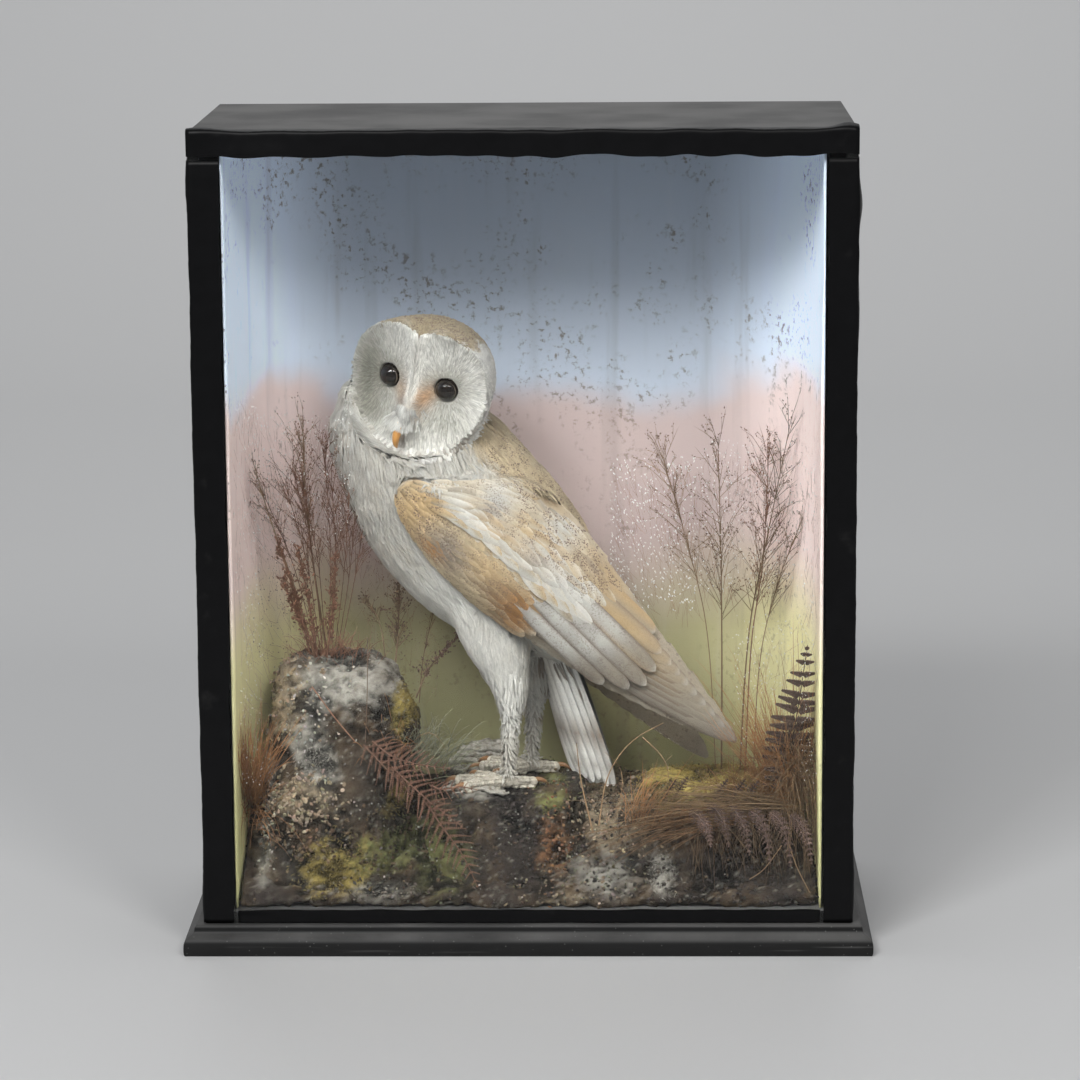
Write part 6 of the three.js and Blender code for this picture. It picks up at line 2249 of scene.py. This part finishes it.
TUFT_LEFT = (
    ((-190, -56, 96), (4, 6, 3), 190, (0.05, -0.1, 1), (0.30, 0.30, 0.1), 52, 0.5, 0.16, ORANGE_GRASS * 0.7,
     ORANGE_GRASS * 1.25),
    ((-189, -50, 84), (4, 8, 6), 110, (0.4, -0.5, 0.5), (0.5, 0.3, 0.4), 30, 0.45, 0.5, ORANGE_GRASS * 0.6,
     ORANGE_GRASS)
)
plant_piece(tufts(TUFT_LEFT), "left_tuft", ("tuft_left",))
TUFT_RIGHT = (
    ((176, -38, 84), (7, 6, 4), 240, (-0.20, -0.05, 1), (0.26, 0.2, 0.1), 78, 0.5, 0.12, ORANGE_GRASS * 0.7,
     ORANGE_GRASS * 1.2),
    ((182, -44, 108), (7, 7, 9), 210, (0.0, -0.25, 0.7), (0.45, 0.3, 0.5), 40, 0.5, 0.45,
     ORANGE_GRASS * 0.8, STRAW * 0.95),
    ((184, -52, 118), (6, 6, 10), 150, (0.1, -0.3, -0.5), (0.35, 0.2, 0.4), 46, 0.45, 0.55, STRAW * 0.7,
     STRAW),
    ((150, -36, 92), (14, 8, 3), 120, (-0.2, -0.2, 0.9), (0.5, 0.3, 0.2), 34, 0.4, 0.4, ORANGE_GRASS * 0.7,
     STRAW * 0.8)
)
plant_piece(tufts(TUFT_RIGHT), "right_tuft", ("tuft_right",))
LOOSE_STRAW = (
    ((168, -70, 92), (10, 5, 4), 90, (-1, -0.12, 0.10), (0.10, 0.12, 0.14), 84, 0.55, 0.10, STRAW * 0.7,
     STRAW * 1.0),
    ((128, -72, 88), (16, 5, 5), 110, (-1, -0.1, -0.12), (0.2, 0.12, 0.2), 56, 0.5, 0.08,
     ORANGE_GRASS * 0.6, STRAW * 0.8),
    ((74, -70, 84), (5, 4, 3), 46, (0.35, 0.05, 1), (0.35, 0.2, 0.15), 30, 0.5, 0.3, ORANGE_GRASS,
     ORANGE_GRASS * 1.3),
    ((120, -66, 92), (34, 6, 3), 120, (0.5, -0.5, -0.4), (0.6, 0.2, 0.4), 24, 0.45, 0.5, STRAW * 0.45,
     STRAW * 0.75),
    ((150, -84, 84), (26, 4, 6), 90, (0.1, -0.2, -1), (0.4, 0.15, 0.3), 30, 0.42, 0.1, STRAW * 0.35,
     STRAW * 0.6)
)
straw_parts = tufts(LOOSE_STRAW)
ARCHES = (
    (((48, -68, 78), (54, -66, 112), (70, -64, 136), (92, -62, 149)), 0.55),
    (((44, -70, 74), (36, -68, 110), (33, -66, 136)), 0.6),
    (((78, -62, 139), (92, -62, 124), (95, -62, 108), (84, -64, 90)), 0.4),
    (((60, -62, 84), (64, -60, 104), (62, -60, 118), (52, -60, 128)), 0.3),
    (((70, -60, 84), (80, -56, 106), (98, -54, 124)), 0.3),
    (((66, -58, 84), (74, -54, 102), (88, -52, 117)), 0.3),
    (((100, -60, 92), (124, -56, 103), (150, -54, 101), (166, -56, 88)), 0.45),
    (((158, -50, 92), (163, -48, 112), (154, -48, 128)), 0.35),
    (((176, -88, 74), (182, -90, 56), (192, -92, 36)), 0.35),
    (((172, -88, 70), (160, -90, 54), (150, -91, 47)), 0.35),
)
straw_parts += [stem(points, thick, thick * 0.45, STRAW * 1.35, 30) for points, thick in ARCHES]
plant_piece(straw_parts, "loose_straw", ("straw_low",))
WISPS = (
    ((-78, -34, 118), (10, 8, 5), 110, (0.35, 0.1, 0.9), (0.5, 0.3, 0.3), 30, 0.4, 0.35, GREY_GRASS * 0.6,
     GREY_GRASS * 1.2),
    ((-62, -20, 108), (8, 8, 4), 70, (0.7, 0.1, 0.7), (0.4, 0.3, 0.3), 26, 0.38, 0.3, GREY_GRASS * 0.7,
     GREY_GRASS * 1.3),
    ((-140, -14, 182), (12, 8, 3), 160, (0.0, -0.1, 1), (0.5, 0.35, 0.2), 24, 0.42, 0.25, REDBROWN * 0.7,
     REDBROWN * 1.0),
    ((-96, -44, 126), (12, 8, 8), 70, (0.1, -0.4, 0.8), (0.5, 0.3, 0.4), 20, 0.4, 0.4, ORANGE_GRASS * 0.7,
     ORANGE_GRASS)
)
wisp_parts = tufts(WISPS) + [
    stem(((-148, -50, 172), (-132, -58, 152), (-118, -62, 136)), 0.45, 0.3, REDBROWN * 0.8),
    stem(((-110, -44, 205), (-110, -52, 170), (-112, -56, 128)), 0.35, 0.25, DRY_DARK * 1.2)
]
plant_piece(wisp_parts, "wisps")

# %% [markdown]
# A bracken frond is cut twice: side leaves in pairs along the rib, and on each of them two rows of
# short leaflets, longest near the middle of the frond. The fern at the right edge is stiffer and
# nearly black, with its leaflets set like the teeth of a comb.
# %% Ferns
def frond(line, pairs, reach, leaflets, leaf_width, face, shade, pitch=58, droop=0.12, leaf_share=0.085):
    """A frond along a line, lying flat to the direction it faces."""
    face = unit(np.array(face, float))
    rib = curve_points(line, 60)
    tangents = unit(np.gradient(rib, axis=0))
    parts = [stem(line, 0.75, 0.25, shade * 0.7)]
    roots, ways, lengths = [], [], []
    for k in range(pairs):
        share = 0.06 + 0.92 * k / (pairs - 1)
        at = int(share * 59)
        along = tangents[at]
        out = unit(np.cross(along, face))
        size = reach * math.sin(math.pi * min(1, 0.20 + 0.80 * share) ** 0.85) ** 0.9
        for side in (-1, 1):
            angle = math.radians(pitch + rng.uniform(-5, 5))
            way = unit(along * math.cos(angle) + out * side * math.sin(angle) + face * rng.normal(0, 0.12))
            parts.append(stem([rib[at], rib[at] + way * size * 0.55 + DOWNWARD * droop * size * 0.15,
                               rib[at] + way * size + DOWNWARD * droop * size], 0.3, 0.12, shade * 0.8, 8))
            count = max(3, int(leaflets * size / reach))
            for j in range(count):
                part_way = (j + 0.6) / count
                root = rib[at] + way * size * part_way + DOWNWARD * droop * size * part_way**2
                for edge in (-1, 1):
                    leaf_out = unit(np.cross(way, face)) * edge
                    roots.append(root)
                    ways.append(unit(leaf_out * 0.9 + way * 0.55 + rng.normal(0, 0.06, 3)))
                    lengths.append(
                        leaf_share * reach * (1.15 - 0.85 * part_way) * (0.35 + 0.65 * size / reach)
                    )
    roots, ways, lengths = np.array(roots) * MM, np.array(ways), np.array(lengths)
    count = len(roots)
    tips = roots + ways * (lengths * MM)[:, None]
    path = np.stack([roots, (roots + tips) / 2 + face * 0.25 * MM, tips], 1)
    up = np.tile(face, (count, 3, 1))
    tone = np.exp(rng.normal(0, 0.15, count))[:, None]
    tints = (np.tile(shade, (count, 1)) * tone * 0.8, np.tile(shade, (count, 1)) * tone * 1.2)
    made = grow(path, up, np.full(count, leaf_width * MM), np.full(count, 0.22 * MM), LEAF_SECTION,
                ((0.0, 0.8), (0.4, 1.0), (0.75, 0.75)), tints, np.zeros((count, 2)))
    parts.append(made[:3])
    return parts


FRONT_FACING = (0.0, -1.0, 0.25)
# Each piece of bracken: the lines its fronds follow, pairs of side leaves, reach, leaflets and shade.
BRACKENS = (
    ("bracken_upper", "fern_left_1", (
        (((-106, -68, 138), (-92, -78, 130), (-74, -84, 126), (-52, -88, 124)), 13, 17, 13, 1.0),
        (((-112, -70, 136), (-96, -80, 122), (-84, -84, 112), (-78, -87, 104)), 10, 14, 11, 0.8))),
    ("bracken_middle", "fern_left_2", (
        (((-92, -84, 124), (-78, -89, 112), (-62, -91, 98), (-44, -92, 84)), 13, 16, 13, 1.0),
        (((-66, -86, 112), (-58, -90, 110), (-46, -91, 112), (-34, -91, 110)), 9, 9, 8, 1.05))),
    ("bracken_lower", "fern_left_3", (
        (((-70, -88, 102), (-58, -91, 84), (-44, -93, 64), (-34, -94, 42)), 13, 16, 13, 0.9),)),
)
for name, node, lines in BRACKENS:
    fern_parts = []
    for line, pairs, reach, leaflets, shade in lines:
        fern_parts += frond(line, pairs, reach, leaflets, 0.8, FRONT_FACING, BRACKEN * shade)
    plant_piece(fern_parts, name, (node,))
fern_parts = frond(
    ((176, -44, 96), (180, -50, 130), (185, -55, 165), (190, -57, 202)), 17, 20, 16, 1.7, (0.25, -1.0, 0.0),
    DARK_FERN, 78, 0.02, 0.2
)
plant_piece(fern_parts, "comb_fern", ("fern_right_1",))
fern_parts = []
for k, (x, z, reach) in enumerate(
    ((122, 96, 26), (136, 94, 30), (150, 92, 34), (164, 90, 34), (178, 88, 30), (110, 92, 22))
):
    fern_parts += frond(
        ((x, -78, z), (x + 7, -88, z - 3), (x + 12, -92, z - reach * 0.5), (x + 14, -93, z - reach)), 13, 5.6,
        5, 0.9, FRONT_FACING, DARK_FERN * (1.5 + 0.1 * k), 64, 0.25, 0.3
    )
for x, z in ((92, 104), (100, 106), (127, 104), (139, 104), (148, 103)):
    fern_parts += frond(
        ((x, -60, z - 10), (x + 4, -62, z - 2), (x + 9, -64, z + 6)), 9, 4.0, 4, 0.8, FRONT_FACING, DARK_FERN,
        60, 0.05, 0.3
    )
plant_piece(fern_parts, "hanging_ferns", ("fern_right_2",))

# %% [markdown]
# The case stands on a plain grey floor that curves up into the wall behind, as in a studio.
# %% Studio floor
SWEEP_HALF, SWEEP_NEAR, SWEEP_FAR, SWEEP_RADIUS, SWEEP_TOP = 5.0, -1.1, 2.2, 1.4, 4.0
bm = bmesh.new()
line = [(SWEEP_NEAR, 0.0)]
for k in range(25):
    angle = math.pi / 2 * k / 24
    line.append((SWEEP_FAR + SWEEP_RADIUS * math.sin(angle), SWEEP_RADIUS * (1 - math.cos(angle))))
line.append((SWEEP_FAR + SWEEP_RADIUS, SWEEP_TOP))
rows = [[bm.verts.new((x, y, z)) for x in (-SWEEP_HALF, SWEEP_HALF)] for y, z in line]
for lower, upper in zip(rows, rows[1:]):
    bm.faces.new((lower[0], lower[1], upper[1], upper[0]))
mesh = bpy.data.meshes.new("studio_floor")
bm.to_mesh(mesh)
bm.free()
mesh.polygons.foreach_set("use_smooth", np.full(len(mesh.polygons), True))
studio, _, studio_shader = start_material("studio_grey", roughness=0.6, specular_ior_level=0.25)
studio_shader.inputs["Base Color"].default_value = (0.70, 0.70, 0.70, 1)
mesh.materials.append(studio)
floor = bpy.data.objects.new("studio_floor", mesh)
bpy.context.scene.collection.objects.link(floor)
print("floor", len(mesh.polygons), "faces")

# %% [markdown]
# Last, the number of pieces shown and their faces are printed.
# %% Measure and finish
shown = [o for o in bpy.data.objects if o.type == "MESH" and not o.hide_render and o != floor]
print("pieces", len(shown), "faces", sum(len(o.data.polygons) for o in shown))
